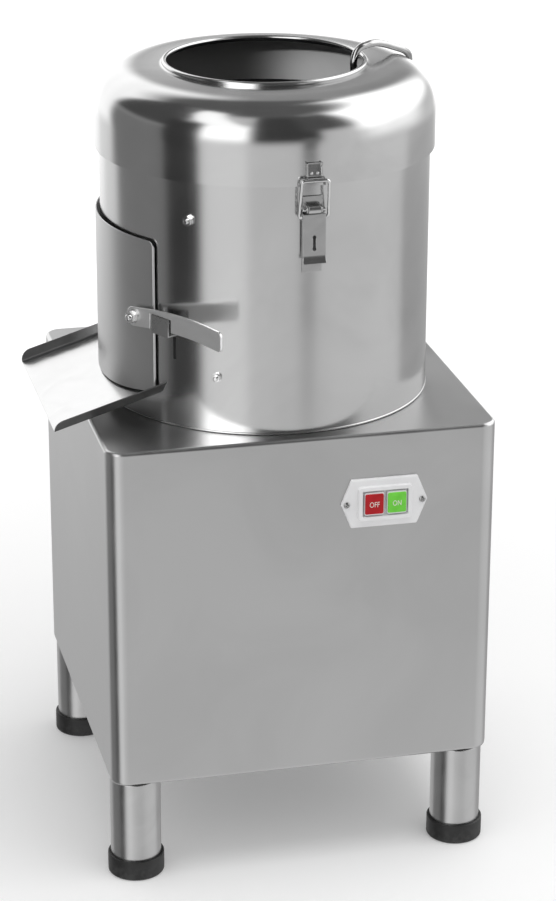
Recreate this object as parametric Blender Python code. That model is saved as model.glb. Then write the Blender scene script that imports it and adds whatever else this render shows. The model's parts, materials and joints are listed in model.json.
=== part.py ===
"""Potato peeling machine: a lined drum with a turning abrasive disc, on a cabinet with four legs.

Metres, +Z up. The front faces -Y and the discharge chute faces -X. The origin lies on the floor,
under the middle of the machine's overall box.
"""
from math import acos, asin, atan2, cos, hypot, pi, radians, sin, tan

import bmesh
import bpy
from mathutils import Matrix, Quaternion, Vector

# Clearances and overruns
SEAT_GAP = 0.0003
RUNNING_GAP = 0.0006
HOLE_CLEARANCE = 0.0004
CUT_OVERRUN = 0.012

# Side counts of round pieces
LARGE_SIDES = 64
MEDIUM_SIDES = 32
SMALL_SIDES = 16
BOLT_SIDES = 12
WIRE_SIDES = 8
SHARP_ANGLE = radians(35)

# Cabinet, sized round the drum that stands on it
DRUM_RADIUS = 0.184
DRUM_SETBACK = 0.0158
DRUM_SIDE_MARGIN = 0.0348
DRUM_REAR_MARGIN = 0.0444
CABINET_WIDTH = 2 * (DRUM_RADIUS + DRUM_SIDE_MARGIN)
CABINET_DEPTH = DRUM_SETBACK + 2 * DRUM_RADIUS + DRUM_REAR_MARGIN
CABINET_HEIGHT = 0.400
CABINET_UNDERSIDE = 0.120
CABINET_SHEET = 0.0012
CORNER_RADIUS = 0.019
TOP_EDGE_RADIUS = 0.004
BOTTOM_EDGE_RADIUS = 0.005
BASE_FLANGE_MARGIN = 0.004
BASE_OPENING_CORNER = 0.002
CABINET_TOP = CABINET_UNDERSIDE + CABINET_HEIGHT
CEILING = CABINET_TOP - CABINET_SHEET
FRONT_PLANE = -CABINET_DEPTH / 2
REAR_PLANE = CABINET_DEPTH / 2
RIGHT_PLANE = CABINET_WIDTH / 2

# Legs and feet
LEG_RADIUS = 0.0287
LEG_WALL = 0.0015
LEG_INSET = 0.030
FOOT_RADIUS = 0.032
FOOT_HEIGHT = 0.024
FOOT_BASE = 0.005
FOOT_EDGE = 0.002

# Service opening and panel in the cabinet's rear
PANEL_SIDE_MARGIN = 0.055
PANEL_TOP_MARGIN = 0.119
PANEL_FLOOR_OFFSET = 0.030
PANEL_WIDTH = CABINET_WIDTH - 2 * PANEL_SIDE_MARGIN
PANEL_HEIGHT = CABINET_HEIGHT - PANEL_FLOOR_OFFSET - PANEL_TOP_MARGIN
PANEL_SHEET = 0.0012
PANEL_LAP = 0.014
PANEL_CORNER = 0.006
LOUVRE_COUNT = 6
LOUVRE_LENGTH = 0.090
LOUVRE_HEIGHT = 0.006
LOUVRE_PITCH = 0.016
PANEL_SCREW_INSET = 0.007

# Drum
DRUM_WALL = 0.0015
DRUM_HEIGHT = 0.305
DRUM_RIM = CABINET_TOP + DRUM_HEIGHT
FOOT_BEAD_DEPTH = 0.002
FOOT_BEAD_HEIGHT = 0.005
DRUM_Y = FRONT_PLANE + DRUM_SETBACK + DRUM_RADIUS
DRUM_BORE = DRUM_RADIUS - DRUM_WALL
DRUM_FOOT = CABINET_TOP + SEAT_GAP

# Drum floor and abrasive lining
FLOOR_SHEET = 0.002
FLOOR_TURN_UP = 0.008
LINER_THICKNESS = 0.003
LINER_TOP_DROP = 0.020
LINER_FLOOR_GAP = 0.004
FLOOR_TOP = DRUM_FOOT + FLOOR_SHEET
LINER_BORE = DRUM_BORE - SEAT_GAP - LINER_THICKNESS

# Lid: a domed ring with a rolled bead round the feed opening
LID_CLEARANCE = 0.005
LID_RADIUS = DRUM_RADIUS + LID_CLEARANCE
LID_SHEET = 0.0012
LID_LAP = 0.025
LID_SKIRT_FOOT = DRUM_RIM - LID_LAP
SHOULDER_LIFT = 0.013
SHOULDER_START = DRUM_RIM + SHOULDER_LIFT
SHOULDER_RISE = 0.050
LID_TOP = SHOULDER_START + SHOULDER_RISE
SHOULDER_REACH = 0.050
SHOULDER_FULLNESS = 0.85
FEED_MARGIN = 0.081
FEED_RADIUS = LID_RADIUS - FEED_MARGIN
BEAD_RADIUS = 0.0028
BEAD_RISE = 0.0027
BEAD_FILLET = 0.004
SHOULDER_STEPS = 8
SHOULDER_INNER_STEPS = 4
BEAD_STEPS = 6

# Discharge opening, chute and door
OPENING_WIDTH = 0.186
OPENING_SILL_RISE = 0.029
OPENING_SILL = CABINET_TOP + OPENING_SILL_RISE
OPENING_HEIGHT = 0.166
OPENING_HEAD = OPENING_SILL + OPENING_HEIGHT
OPENING_CORNER = 0.014
CHUTE_HALF_WIDTH = 0.1165
CHUTE_SHEET = 0.0015
CHUTE_WALL_RISE = 0.011
CHUTE_WALL_LEAN = 0.005
CHUTE_CORNER = 0.010
CHUTE_SLOPE = tan(radians(17.1))
CHUTE_SILL_DROP = 0.005
CHUTE_SILL = OPENING_SILL - CHUTE_SILL_DROP
CHUTE_LENGTH = 0.078
DOOR_STANDOFF = 0.0035
DOOR_SHEET = 0.0015
DOOR_HALF_ANGLE = radians(37.2)
DOOR_OVERLAP = 0.012
DOOR_TOP = OPENING_HEAD + DOOR_OVERLAP
DOOR_CORNER = 0.007
DOOR_SWEEP_CLEARANCE = 0.002
DOOR_RAISED_WIDTH = 0.048
DOOR_STEPS = 14
DOOR_BACK = DRUM_RADIUS + DOOR_STANDOFF
DOOR_FACE = DOOR_BACK + DOOR_SHEET

# Door hinge on the far side of the drum
DOOR_HINGE_ANGLE = radians(141.4)
DOOR_HINGE_OFFSET = 0.0105
DOOR_HINGE_RISE = 0.091
DOOR_HINGE_MIDDLE = OPENING_SILL + DOOR_HINGE_RISE
DOOR_BARREL_LENGTH = 0.060
DOOR_BARREL_RADIUS = 0.0050
DOOR_PIN_RADIUS = 0.0025
DOOR_PIN_HEAD = 0.0020
DOOR_EAR_THICKNESS = 0.005
HINGE_LEAF_SHEET = 0.002
HINGE_LEAF_WIDTH = 0.030

# Door lever, its pivot bolt and the catch on the drum
LEVER_ANGLE = radians(-150)
LEVER_RISE = 0.090
LEVER_HEIGHT = OPENING_SILL + LEVER_RISE
LEVER_LENGTH = 0.141
LEVER_WIDTH = 0.022
LEVER_THICKNESS = 0.003
LEVER_STANDOFF = 0.0035
LEVER_CAMBER = 0.0075
LEVER_CAMBER_TURN = radians(145)
LEVER_TIP_RADIUS = 0.005
LEVER_STEPS = 14
LEVER_BOLT_RADIUS = 0.0040
LEVER_COLLAR_RADIUS = 0.0075
LEVER_HEAD_RADIUS = 0.0070
LEVER_HEAD_HEIGHT = 0.0050
LEVER_BACK = DOOR_FACE + LEVER_STANDOFF
LEVER_FACE = LEVER_BACK + LEVER_THICKNESS
CATCH_START = 0.031
CATCH_WIDTH = 0.027
CATCH_DROP = 0.0105
CATCH_FOOT = LEVER_HEIGHT - CATCH_DROP
CATCH_HEIGHT = 0.0205
CATCH_SHEET = 0.002
NOTCH_SIDE_CLEARANCE = 0.0035
SLOT_ANGLE = radians(-135)
SLOT_WIDTH = 0.0035
SLOT_DROP = 0.041
SLOT_FOOT = LEVER_HEIGHT - SLOT_DROP
SLOT_HEIGHT = 0.025

# Bolts that hold the lining to the drum
LINER_BOLT_ANGLES = {"liner_bolt_upper": radians(-129.1), "liner_bolt_lower": radians(-119.2)}
UPPER_BOLT_DROP = 0.043
LOWER_BOLT_RISE = 0.0355
LINER_BOLT_HEIGHTS = {"liner_bolt_upper": LID_SKIRT_FOOT - UPPER_BOLT_DROP,
                      "liner_bolt_lower": OPENING_SILL + LOWER_BOLT_RISE}
LINER_BOLT_SIZES = {"liner_bolt_upper": 0.0062, "liner_bolt_lower": 0.0052}
LINER_BOLT_HEAD = 0.0045
LINER_BOLT_STUD = 0.0035
LINER_SHANK_RADIUS = 0.0028

# Toggle latch at the front of the drum
LATCH_ANGLE = radians(-87.3)
LATCH_PIVOT_DROP = 0.025
LATCH_PIVOT_HEIGHT = LID_SKIRT_FOOT - LATCH_PIVOT_DROP
LATCH_PIVOT_STANDOFF = 0.0078
LATCH_BASE_WIDTH = 0.022
LATCH_BASE_DROP = 0.071
LATCH_BASE_FOOT = LATCH_PIVOT_HEIGHT - LATCH_BASE_DROP
LATCH_BASE_HEIGHT = 0.084
LATCH_SHEET = 0.0012
LATCH_EAR_SPACING = 0.0160
LATCH_EAR_RADIUS = 0.0042
LATCH_PIN_RADIUS = 0.0016
LATCH_BARREL_RADIUS = 0.0040
LEVER_PLATE_WIDTH = 0.025
LEVER_PLATE_DROP = 0.0585
LEVER_PLATE_FOOT = LATCH_PIVOT_HEIGHT - LEVER_PLATE_DROP
LEVER_HEAD_DROP = 0.005
LEVER_PLATE_HEAD = LATCH_PIVOT_HEIGHT - LEVER_HEAD_DROP
LEVER_PLATE_STANDOFF = 0.0098
LEVER_TAIL_LENGTH = 0.005
LEVER_TAIL_CURL = 0.003
LEVER_FLANGE_DEPTH = 0.0064
LEVER_SLOT_WIDTH = 0.004
LEVER_SLOT_RISE = 0.0135
LEVER_SLOT_FOOT = LEVER_PLATE_FOOT + LEVER_SLOT_RISE
LEVER_SLOT_HEIGHT = 0.017
BAIL_WIRE = 0.00175
BAIL_PIVOT_DROP = 0.009
BAIL_PIVOT_STANDOFF = 0.0062
BAIL_END_REACH = 0.001
BAIL_FOOT_HALF_WIDTH = 0.0165
BAIL_TOP_HALF_WIDTH = 0.0150
BAIL_BAR_RISE = 0.0072
BAIL_BAR_HEIGHT = LID_SKIRT_FOOT + BAIL_BAR_RISE
BAIL_CORNER = 0.0035
KEEPER_WIDTH = 0.0175
KEEPER_RISE = 0.0050
KEEPER_FOOT = LID_SKIRT_FOOT + KEEPER_RISE
KEEPER_HEIGHT = 0.0205
KEEPER_DEPTH = 0.0050
KEEPER_LIP = 0.0055
KEEPER_SHEET = 0.0012

# Lid hinge at the rear of the drum
LID_HINGE_OFFSET = 0.0125
LID_HINGE_DROP = 0.0095
LID_BARREL_RADIUS = 0.0050
LID_BARREL_LENGTH = 0.034
LID_LEAF_HEIGHT = 0.034
LID_LEAF_SHEET = 0.0025
LID_PIN_RADIUS = 0.0030
LID_PIN_HEAD = 0.0025
LID_EAR_THICKNESS = 0.004
LID_EAR_RISE = 0.0072
LID_BRACKET_HEIGHT = 0.045
LID_BRACKET_SHEET = 0.0025

# Water pipe over the lid, with its clip
PIPE_RADIUS = 0.0040
PIPE_BORE = 0.0028
PIPE_TIP_ANGLE = radians(-4)
PIPE_TAIL_ANGLE = radians(22)
PIPE_ARCH_REACH = 0.040
PIPE_ARCH_RISE = 0.012
PIPE_ARCH_SHARES = ((-0.20, -3.2, 0.0), (-0.20, -1.7, 0.0), (-0.19, -0.4, 0.03), (-0.04, 0.45, 0.09),
                    (0.18, 0.85, 0.16), (0.43, 1.0, 0.23), (0.71, 0.75, 0.33), (1.0, 0.28, 0.42))
PIPE_SHOULDER_SHARES = ((0.42, 0.6), (0.62, 0.75), (0.82, 0.9))
PIPE_SKIN_GAP = 0.0012
PIPE_TAIL_DROP = 0.022
PIPE_TAIL_HEIGHT = LID_SKIRT_FOOT - PIPE_TAIL_DROP
PIPE_SIDES = 10
PIPE_STEPS = 2
CLIP_WIDTH = 0.010
CLIP_LENGTH = 0.026
CLIP_SHEET = 0.0012
CLIP_RISE = 0.022
CLIP_HEIGHT = LID_SKIRT_FOOT + CLIP_RISE

# Push-button switch on the front
SWITCH_SIDE_DISTANCE = 0.1307
SWITCH_X = RIGHT_PLANE - SWITCH_SIDE_DISTANCE
SWITCH_DROP = 0.080
SWITCH_HEIGHT = CABINET_TOP - SWITCH_DROP
SWITCH_LENGTH = 0.0984
SWITCH_FLAT_LENGTH = 0.0750
SWITCH_WIDTH = 0.0570
SWITCH_THICKNESS = 0.0045
SWITCH_CHAMFER = 0.0012
SWITCH_FRAME_LENGTH = 0.0610
SWITCH_FRAME_WIDTH = 0.0400
SWITCH_FRAME_RISE = 0.0035
SWITCH_FRAME_CORNER = 0.004
SWITCH_WELL_LENGTH = 0.0515
SWITCH_WELL_WIDTH = 0.0300
SWITCH_WELL_OFFSET = 0.0004
SWITCH_WELL_FLOOR = 0.0020
BUTTON_WIDTH = 0.0220
BUTTON_HEIGHT = 0.0262
BUTTON_SPACING = 0.0257
BUTTON_PROUD = 0.0008
BUTTON_EDGE = 0.0010
BUTTON_TRAVEL = 0.0030
BUTTON_STEM_WIDTH = 0.010
BUTTON_STEM_REACH = 0.0060
SWITCH_SCREW_SPACING = 0.0859
SWITCH_SCREW_HEAD = 0.0036
SWITCH_SCREW_HEIGHT = 0.0020
SWITCH_SCREW_SHANK = 0.0018
SWITCH_SCREW_LENGTH = 0.011
SWITCH_BODY_LENGTH = 0.0620
SWITCH_BODY_WIDTH = 0.0380
SWITCH_BODY_DEPTH = 0.032
SWITCH_CUTOUT_LENGTH = 0.0560
SWITCH_CUTOUT_WIDTH = 0.0340

# Bearing housing, bearings and shaft seal on the drum's axis
HOUSING_FLANGE_RADIUS = 0.060
HOUSING_FLANGE = 0.008
HOUSING_RADIUS = 0.031
HOUSING_LENGTH = 0.096
HOUSING_NECK_RISE = 0.008
BEARING_RADIUS = 0.0235
BEARING_HEIGHT = 0.014
HOUSING_WAIST = 0.0200
UPPER_SEAT_DEPTH = 0.035
SEAL_HEIGHT = 0.008
SEAL_DROP = 0.004
SHAFT_RADIUS = 0.0122
SHAFT_COLLAR_RADIUS = 0.0150
SHAFT_TIP_RADIUS = 0.0080
SHAFT_TIP_LENGTH = 0.030
DISC_HUB_RISE = 0.004

# Abrasive disc and its knob
DISC_RIM_GAP = 0.004
DISC_THICKNESS = 0.008
DISC_HUB_RADIUS = 0.024
DISC_HUB_HEIGHT = 0.0075
DISC_WAVE = 0.0020
DISC_WAVE_COUNT = 4
DISC_RING_SHARES = (1.0, 0.75, 0.5, 0.25)
VANE_HEIGHT = 0.007
VANE_WIDTH = 0.006
VANE_LENGTH = 0.110
KNOB_RADIUS = 0.020
KNOB_HEIGHT = 0.026
KNOB_EDGE = 0.006

# Belt drive
BELT_WIDTH = 0.010
BELT_DEPTH = 0.006
BELT_TAPER = 0.0015
BELT_GAP = 0.0006
DRIVEN_PULLEY_RADIUS = 0.096
MOTOR_PULLEY_RADIUS = 0.028
PULLEY_WIDTH = 0.018
PULLEY_RIM = 0.014
PULLEY_WEB = 0.006
PULLEY_HUB_RADIUS = 0.024
PULLEY_HUB_HEIGHT = 0.034
PULLEY_LIP = 0.0015
HUB_CLEARANCE = 0.0065
BELT_HEIGHT = CEILING - SEAT_GAP - HOUSING_LENGTH - HUB_CLEARANCE - PULLEY_HUB_HEIGHT / 2

# Motor with its mounting plate
MOTOR_SIDE_DISTANCE = 0.115
MOTOR_REAR_DISTANCE = 0.110
MOTOR_X = RIGHT_PLANE - MOTOR_SIDE_DISTANCE
MOTOR_Y = REAR_PLANE - MOTOR_REAR_DISTANCE
MOTOR_RADIUS = 0.060
MOTOR_FIN_DEPTH = 0.005
MOTOR_FIN_COUNT = 16
MOTOR_FIN_SHARES = (0.0, 0.12, 0.38, 0.5)
MOTOR_HEIGHT = 0.160
MOTOR_SPIGOT_RADIUS = 0.030
MOTOR_SPIGOT_HEIGHT = 0.007
MOTOR_PLATE_DROP = 0.037
MOTOR_PLATE_HEIGHT = BELT_HEIGHT - MOTOR_PLATE_DROP
MOTOR_PLATE_SHEET = 0.004
MOTOR_PLATE_REACH = 0.178
MOTOR_PLATE_WIDTH = 0.150
MOTOR_PLATE_RISE = 0.070
MOTOR_SHAFT_RADIUS = 0.0070
MOTOR_SHAFT_TOP_MARGIN = 0.004
FAN_COVER_HEIGHT = 0.045
FAN_COVER_SHEET = 0.0012
FAN_COVER_LAP = 0.012
FAN_GRILLE_RADIUS = 0.030
FAN_RADIUS = 0.048
FAN_HEIGHT = 0.014
FAN_HUB_RADIUS = 0.020
FAN_BLADES = 8
FAN_BLADE_SHARES = (0.0, 0.05, 0.15, 0.4)
FAN_GAP = 0.005
TERMINAL_BOX_DEPTH = 0.030
TERMINAL_BOX_WIDTH = 0.056
TERMINAL_BOX_HEIGHT = 0.070
TERMINAL_BOX_DROP = 0.030
TERMINAL_BOX_EDGE = 0.003

# Waste outlet and cable gland
DRAIN_WALL_DISTANCE = 0.054
DRAIN_ANGLE = radians(130.8)
DRAIN_X = (DRUM_RADIUS - DRAIN_WALL_DISTANCE) * cos(DRAIN_ANGLE)
DRAIN_Y = DRUM_Y + (DRUM_RADIUS - DRAIN_WALL_DISTANCE) * sin(DRAIN_ANGLE)
DRAIN_RADIUS = 0.0190
DRAIN_BORE = 0.0172
DRAIN_FLANGE_RADIUS = 0.026
DRAIN_FLANGE_SHEET = 0.0015
DRAIN_TOP_CLEARANCE = 0.004
DRAIN_BEND = 0.030
DRAIN_EXIT_DROP = 0.064
DRAIN_EXIT_HEIGHT = CABINET_TOP - DRAIN_EXIT_DROP
DRAIN_OUTREACH = 0.024
GLAND_SIDE_DISTANCE = 0.065
GLAND_X = RIGHT_PLANE - GLAND_SIDE_DISTANCE
GLAND_DROP = 0.066
GLAND_HEIGHT = CABINET_TOP - GLAND_DROP
GLAND_RADIUS = 0.0085
GLAND_BORE = 0.0045
GLAND_HEX_RADIUS = 0.0125
GLAND_HEX_HEIGHT = 0.007
GLAND_NECK_LENGTH = 0.010
GLAND_TAIL = 0.010

# Finishes: base colour, roughness and metalness
BRUSHED_STEEL = ((0.62, 0.62, 0.61), 0.30, 1.0)
POLISHED_STEEL = ((0.72, 0.72, 0.71), 0.16, 1.0)
ZINC_PLATE = ((0.70, 0.70, 0.69), 0.22, 1.0)
CAST_IRON = ((0.16, 0.16, 0.17), 0.55, 0.6)
ABRASIVE_COAT = ((0.10, 0.10, 0.11), 0.90, 0.0)
BLACK_RUBBER = ((0.02, 0.02, 0.02), 0.70, 0.0)
WHITE_PLASTIC = ((0.82, 0.82, 0.82), 0.35, 0.0)
BLACK_PLASTIC = ((0.03, 0.03, 0.03), 0.45, 0.0)
RED_PLASTIC = ((0.55, 0.02, 0.02), 0.35, 0.0)
GREEN_PLASTIC = ((0.10, 0.60, 0.10), 0.35, 0.0)
MOTOR_PAINT = ((0.20, 0.23, 0.26), 0.50, 0.0)

UP = Vector((0, 0, 1))
TO_FRONT = Matrix.Rotation(pi / 2, 4, "X")
TO_REAR = Matrix.Rotation(-pi / 2, 4, "X")
TO_RIGHT = Matrix.Rotation(pi / 2, 4, "Y")
TO_LEFT = Matrix.Rotation(-pi / 2, 4, "Y")


def clear_scene():
    for old in list(bpy.data.objects):
        bpy.data.objects.remove(old, do_unlink=True)


def finish(name, colour, roughness, metallic):
    """A Principled material."""
    made = bpy.data.materials.new(name)
    made.use_nodes = True
    shader = made.node_tree.nodes["Principled BSDF"]
    shader.inputs["Base Color"].default_value = (*colour, 1)
    shader.inputs["Roughness"].default_value = roughness
    shader.inputs["Metallic"].default_value = metallic
    made.diffuse_color = (*colour, 1)
    return made


# Frames

def empty(name, parent=None, location=(0, 0, 0), turn=0.0):
    """An empty that carries pieces; turn is about the vertical."""
    made = bpy.data.objects.new(name, None)
    made.parent = parent
    made.location = location
    made.rotation_euler = (0, 0, turn)
    bpy.context.scene.collection.objects.link(made)
    return made


def station(name, drum, angle, rides=None):
    """An empty on the drum's axis whose -Y side faces outward at the given angle."""
    return empty(name, rides or drum, -offset(drum, rides), angle + pi / 2)


def pivot(name, frame, place, rides=None):
    """An empty on a joint's axis, placed in a frame's axes; it may ride on another pivot."""
    return empty(name, rides or frame, Vector(place) - offset(frame, rides))


def offset(frame, rides):
    """How far a pivot lies from the frame whose axes it keeps."""
    total = Vector()
    while rides is not None and rides != frame:
        total += rides.location
        rides = rides.parent
    return total


# Meshes

def circle(radius, height, sides):
    """A level ring of points."""
    return [Vector((radius * cos(2 * pi * i / sides), radius * sin(2 * pi * i / sides), height))
            for i in range(sides)]


def hexagon(radius, height):
    """A six-sided ring with a point in the middle of each side too."""
    reach = (radius, radius * cos(pi / 6))
    return [Vector((reach[i % 2] * cos(pi * i / 6), reach[i % 2] * sin(pi * i / 6), height))
            for i in range(12)]


def rounded_rectangle(width, depth, radius, height=0.0, steps=4):
    """A level ring with round corners."""
    centres = [(1, 1), (-1, 1), (-1, -1), (1, -1)]
    points = []
    for quarter, (side_x, side_y) in enumerate(centres):
        for i in range(steps + 1):
            angle = pi / 2 * (quarter + i / steps)
            points.append(Vector((side_x * (width / 2 - radius) + radius * cos(angle),
                                  side_y * (depth / 2 - radius) + radius * sin(angle), height)))
    return points


def rectangle(width, depth, height=0.0):
    return [Vector((sx * width / 2, sy * depth / 2, height)) for sx, sy in
            ((1, 1), (-1, 1), (-1, -1), (1, -1))]


def at_height(ring, height):
    return [Vector((p.x, p.y, height)) for p in ring]


def loft(rings, closed=False, caps=(True, True)):
    """Quads between rings of equal counts; the ends are capped, or joined when closed."""
    shape = bmesh.new()
    loops = [[shape.verts.new(point) for point in ring] for ring in rings]
    pairs = list(zip(loops, loops[1:]))
    if closed:
        pairs.append((loops[-1], loops[0]))
    for lower, upper in pairs:
        for i in range(len(lower)):
            j = (i + 1) % len(lower)
            shape.faces.new((lower[i], lower[j], upper[j], upper[i]))
    if not closed:
        for wanted, loop in zip(caps, (loops[0], loops[-1])):
            if wanted:
                shape.faces.new(loop)
    bmesh.ops.recalc_face_normals(shape, faces=shape.faces)
    return shape


def prism(ring, low, high):
    return loft([at_height(ring, low), at_height(ring, high)])


def turned(outline, sides, closed=False):
    """A solid turned about Z from (radius, height) points; closed outlines keep a bore."""
    return loft([circle(radius, height, sides) for radius, height in outline], closed)


def block(size, centre, edge=0.0):
    """A box, with its edges rounded off when edge is above nought."""
    shape = prism(rectangle(size[0], size[1]), -size[2] / 2, size[2] / 2)
    if edge > 0:
        bmesh.ops.bevel(shape, geom=shape.edges[:], offset=edge, segments=2, profile=0.5,
                        affect="EDGES")
    return moved(shape, centre)


def moved(shape, place, turn=None):
    """Turn a mesh about the origin, then move it to its place."""
    if turn is not None:
        shape.transform(turn)
    shape.transform(Matrix.Translation(place))
    return shape


def sweep_rings(path, radius, sides):
    """Rings square to a path, carried along it without twisting."""
    rings = []
    side = None
    for i, point in enumerate(path):
        along = (path[min(i + 1, len(path) - 1)] - path[max(i - 1, 0)]).normalized()
        if side is None:
            side = along.orthogonal()
        side = (side - along * side.dot(along)).normalized()
        other = along.cross(side)
        rings.append([point + radius * (cos(2 * pi * k / sides) * side + sin(2 * pi * k / sides) * other)
                      for k in range(sides)])
    return rings


def wire(path, radius, sides):
    return loft(sweep_rings(path, radius, sides))


def tube(path, radius, bore, sides):
    inner = sweep_rings(path, bore, sides)
    return loft(sweep_rings(path, radius, sides) + inner[::-1], closed=True)


def rounded_path(corners, radius, steps=4):
    """A polyline whose inner corners are arcs."""
    points = [corners[0]]
    for before, corner, after in zip(corners, corners[1:], corners[2:]):
        come = (corner - before).normalized()
        go = (after - corner).normalized()
        bend = come.angle(go)
        start = corner - come * radius * tan(bend / 2)
        inward = (go - come * come.dot(go)).normalized()
        centre = start + inward * radius
        axis = come.cross(go).normalized()
        points += [centre + Quaternion(axis, bend * i / steps) @ (start - centre) for i in range(steps + 1)]
    return points + [corners[-1]]


def smooth_path(points, steps):
    """A Catmull-Rom curve through the points."""
    ends = [points[0] * 2 - points[1]] + points + [points[-1] * 2 - points[-2]]
    path = []
    for a, b, c, d in zip(ends, ends[1:], ends[2:], ends[3:]):
        for i in range(steps):
            t = i / steps
            path.append(0.5 * ((2 * b) + (c - a) * t + (2 * a - 5 * b + 4 * c - d) * t ** 2
                               + (3 * b - a - 3 * c + d) * t ** 3))
    return path + [points[-1]]


# Objects

def add(name, shape, look, frame, rides=None):
    """Make a piece drawn in a frame's axes. A moving piece rides on a pivot in that frame."""
    mesh = bpy.data.meshes.new(name)
    shape.to_mesh(mesh)
    shape.free()
    mesh.shade_smooth()
    mesh.set_sharp_from_angle(angle=SHARP_ANGLE)
    if look is not None:
        mesh.materials.append(finish(name, *look))
    made = bpy.data.objects.new(name, mesh)
    made.parent = rides or frame
    made.location = -offset(frame, rides)
    bpy.context.scene.collection.objects.link(made)
    return made


def shape_with(target, shape, frame, operation="DIFFERENCE", rides=None):
    """Cut a shape away from a piece, or join it on."""
    guide = add(target.name + "_guide", shape, None, frame, rides)
    guide.hide_render = True
    guide.display_type = "WIRE"
    change = target.modifiers.new(operation.title(), "BOOLEAN")
    change.operation = operation
    change.solver = "EXACT"
    change.object = guide


def hex_bolt(head, height, shank, length, stud=0.0):
    """A hexagon head on the XY plane with its shank below, and a stud end above if asked."""
    shoulder = head * cos(pi / 6) * 0.9
    rings = [circle(shank, -length, BOLT_SIDES), circle(shank, 0, BOLT_SIDES), hexagon(head, 0),
             hexagon(head, height * 0.85), circle(shoulder, height, BOLT_SIDES)]
    if stud > 0:
        rings += [circle(shank, height, BOLT_SIDES), circle(shank, height + stud, BOLT_SIDES)]
    return loft(rings)


def pan_screw(head, height, shank, length):
    """A low domed head on the XY plane with its shank below."""
    outline = [(shank, -length), (shank, 0), (head, 0), (head, height * 0.4),
               (head * 0.75, height * 0.85), (head * 0.35, height)]
    return turned(outline, BOLT_SIDES)


# Cabinet

def cabinet_ring(inset, height, corner):
    return rounded_rectangle(CABINET_WIDTH - 2 * inset, CABINET_DEPTH - 2 * inset, corner, height)


def make_cabinet(frame):
    """A sheet box, open below inside a flange that the legs stand under."""
    flange = LEG_INSET + LEG_RADIUS + BASE_FLANGE_MARGIN
    rings = [cabinet_ring(flange, CABINET_UNDERSIDE, BASE_OPENING_CORNER)]
    steps = 3
    for i in range(steps + 1):
        angle = pi / 2 * i / steps
        inset = BOTTOM_EDGE_RADIUS * (1 - sin(angle))
        height = CABINET_UNDERSIDE + BOTTOM_EDGE_RADIUS * (1 - cos(angle))
        rings.append(cabinet_ring(inset, height, CORNER_RADIUS - inset))
    for i in range(steps + 1):
        angle = pi / 2 * i / steps
        inset = TOP_EDGE_RADIUS * (1 - cos(angle))
        height = CABINET_TOP - TOP_EDGE_RADIUS * (1 - sin(angle))
        rings.append(cabinet_ring(inset, height, CORNER_RADIUS - inset))
    shell = add("cabinet_shell", loft(rings, caps=(False, True)), BRUSHED_STEEL, frame)
    skin = shell.modifiers.new("Sheet", "SOLIDIFY")
    skin.thickness = CABINET_SHEET
    skin.offset = -1
    skin.use_even_offset = True
    service = block((PANEL_WIDTH - 2 * PANEL_LAP, CUT_OVERRUN, PANEL_HEIGHT - 2 * PANEL_LAP),
                    (0, REAR_PLANE, panel_middle()))
    shape_with(shell, service, frame)
    neck = turned([(HOUSING_RADIUS + HOLE_CLEARANCE, CEILING - CUT_OVERRUN),
                   (HOUSING_RADIUS + HOLE_CLEARANCE, CABINET_TOP + CUT_OVERRUN)], MEDIUM_SIDES)
    shape_with(shell, moved(neck, (0, DRUM_Y, 0)), frame)
    drain = turned([(DRAIN_RADIUS + DRAIN_TOP_CLEARANCE, CEILING - CUT_OVERRUN),
                    (DRAIN_RADIUS + DRAIN_TOP_CLEARANCE, CABINET_TOP + CUT_OVERRUN)], SMALL_SIDES)
    shape_with(shell, moved(drain, (DRAIN_X, DRAIN_Y, 0)), frame)
    for x, height, radius in ((DRAIN_X, DRAIN_EXIT_HEIGHT, DRAIN_RADIUS),
                              (GLAND_X, GLAND_HEIGHT, GLAND_RADIUS)):
        hole = turned([(radius + HOLE_CLEARANCE, -CUT_OVERRUN), (radius + HOLE_CLEARANCE, CUT_OVERRUN)],
                      SMALL_SIDES)
        shape_with(shell, moved(hole, (x, REAR_PLANE, height), TO_REAR), frame)
    cutout = block((SWITCH_CUTOUT_LENGTH, CUT_OVERRUN, SWITCH_CUTOUT_WIDTH),
                   (SWITCH_X, FRONT_PLANE, SWITCH_HEIGHT))
    shape_with(shell, cutout, frame)
    for x in switch_screw_places():
        shape_with(shell, screw_hole(SWITCH_SCREW_SHANK, (x, FRONT_PLANE, SWITCH_HEIGHT)), frame)
    for x in panel_screw_places():
        shape_with(shell, screw_hole(SWITCH_SCREW_SHANK, (x, REAR_PLANE, panel_middle())), frame)


def screw_hole(shank, place):
    """A cutter for a screw that runs along Y."""
    radius = shank + HOLE_CLEARANCE
    return moved(turned([(radius, -CUT_OVERRUN), (radius, CUT_OVERRUN)], BOLT_SIDES), place, TO_FRONT)


def panel_middle():
    return CABINET_UNDERSIDE + PANEL_FLOOR_OFFSET + PANEL_HEIGHT / 2


def panel_screw_places():
    return [side * (PANEL_WIDTH / 2 - PANEL_SCREW_INSET) for side in (-1, 1)]


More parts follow.
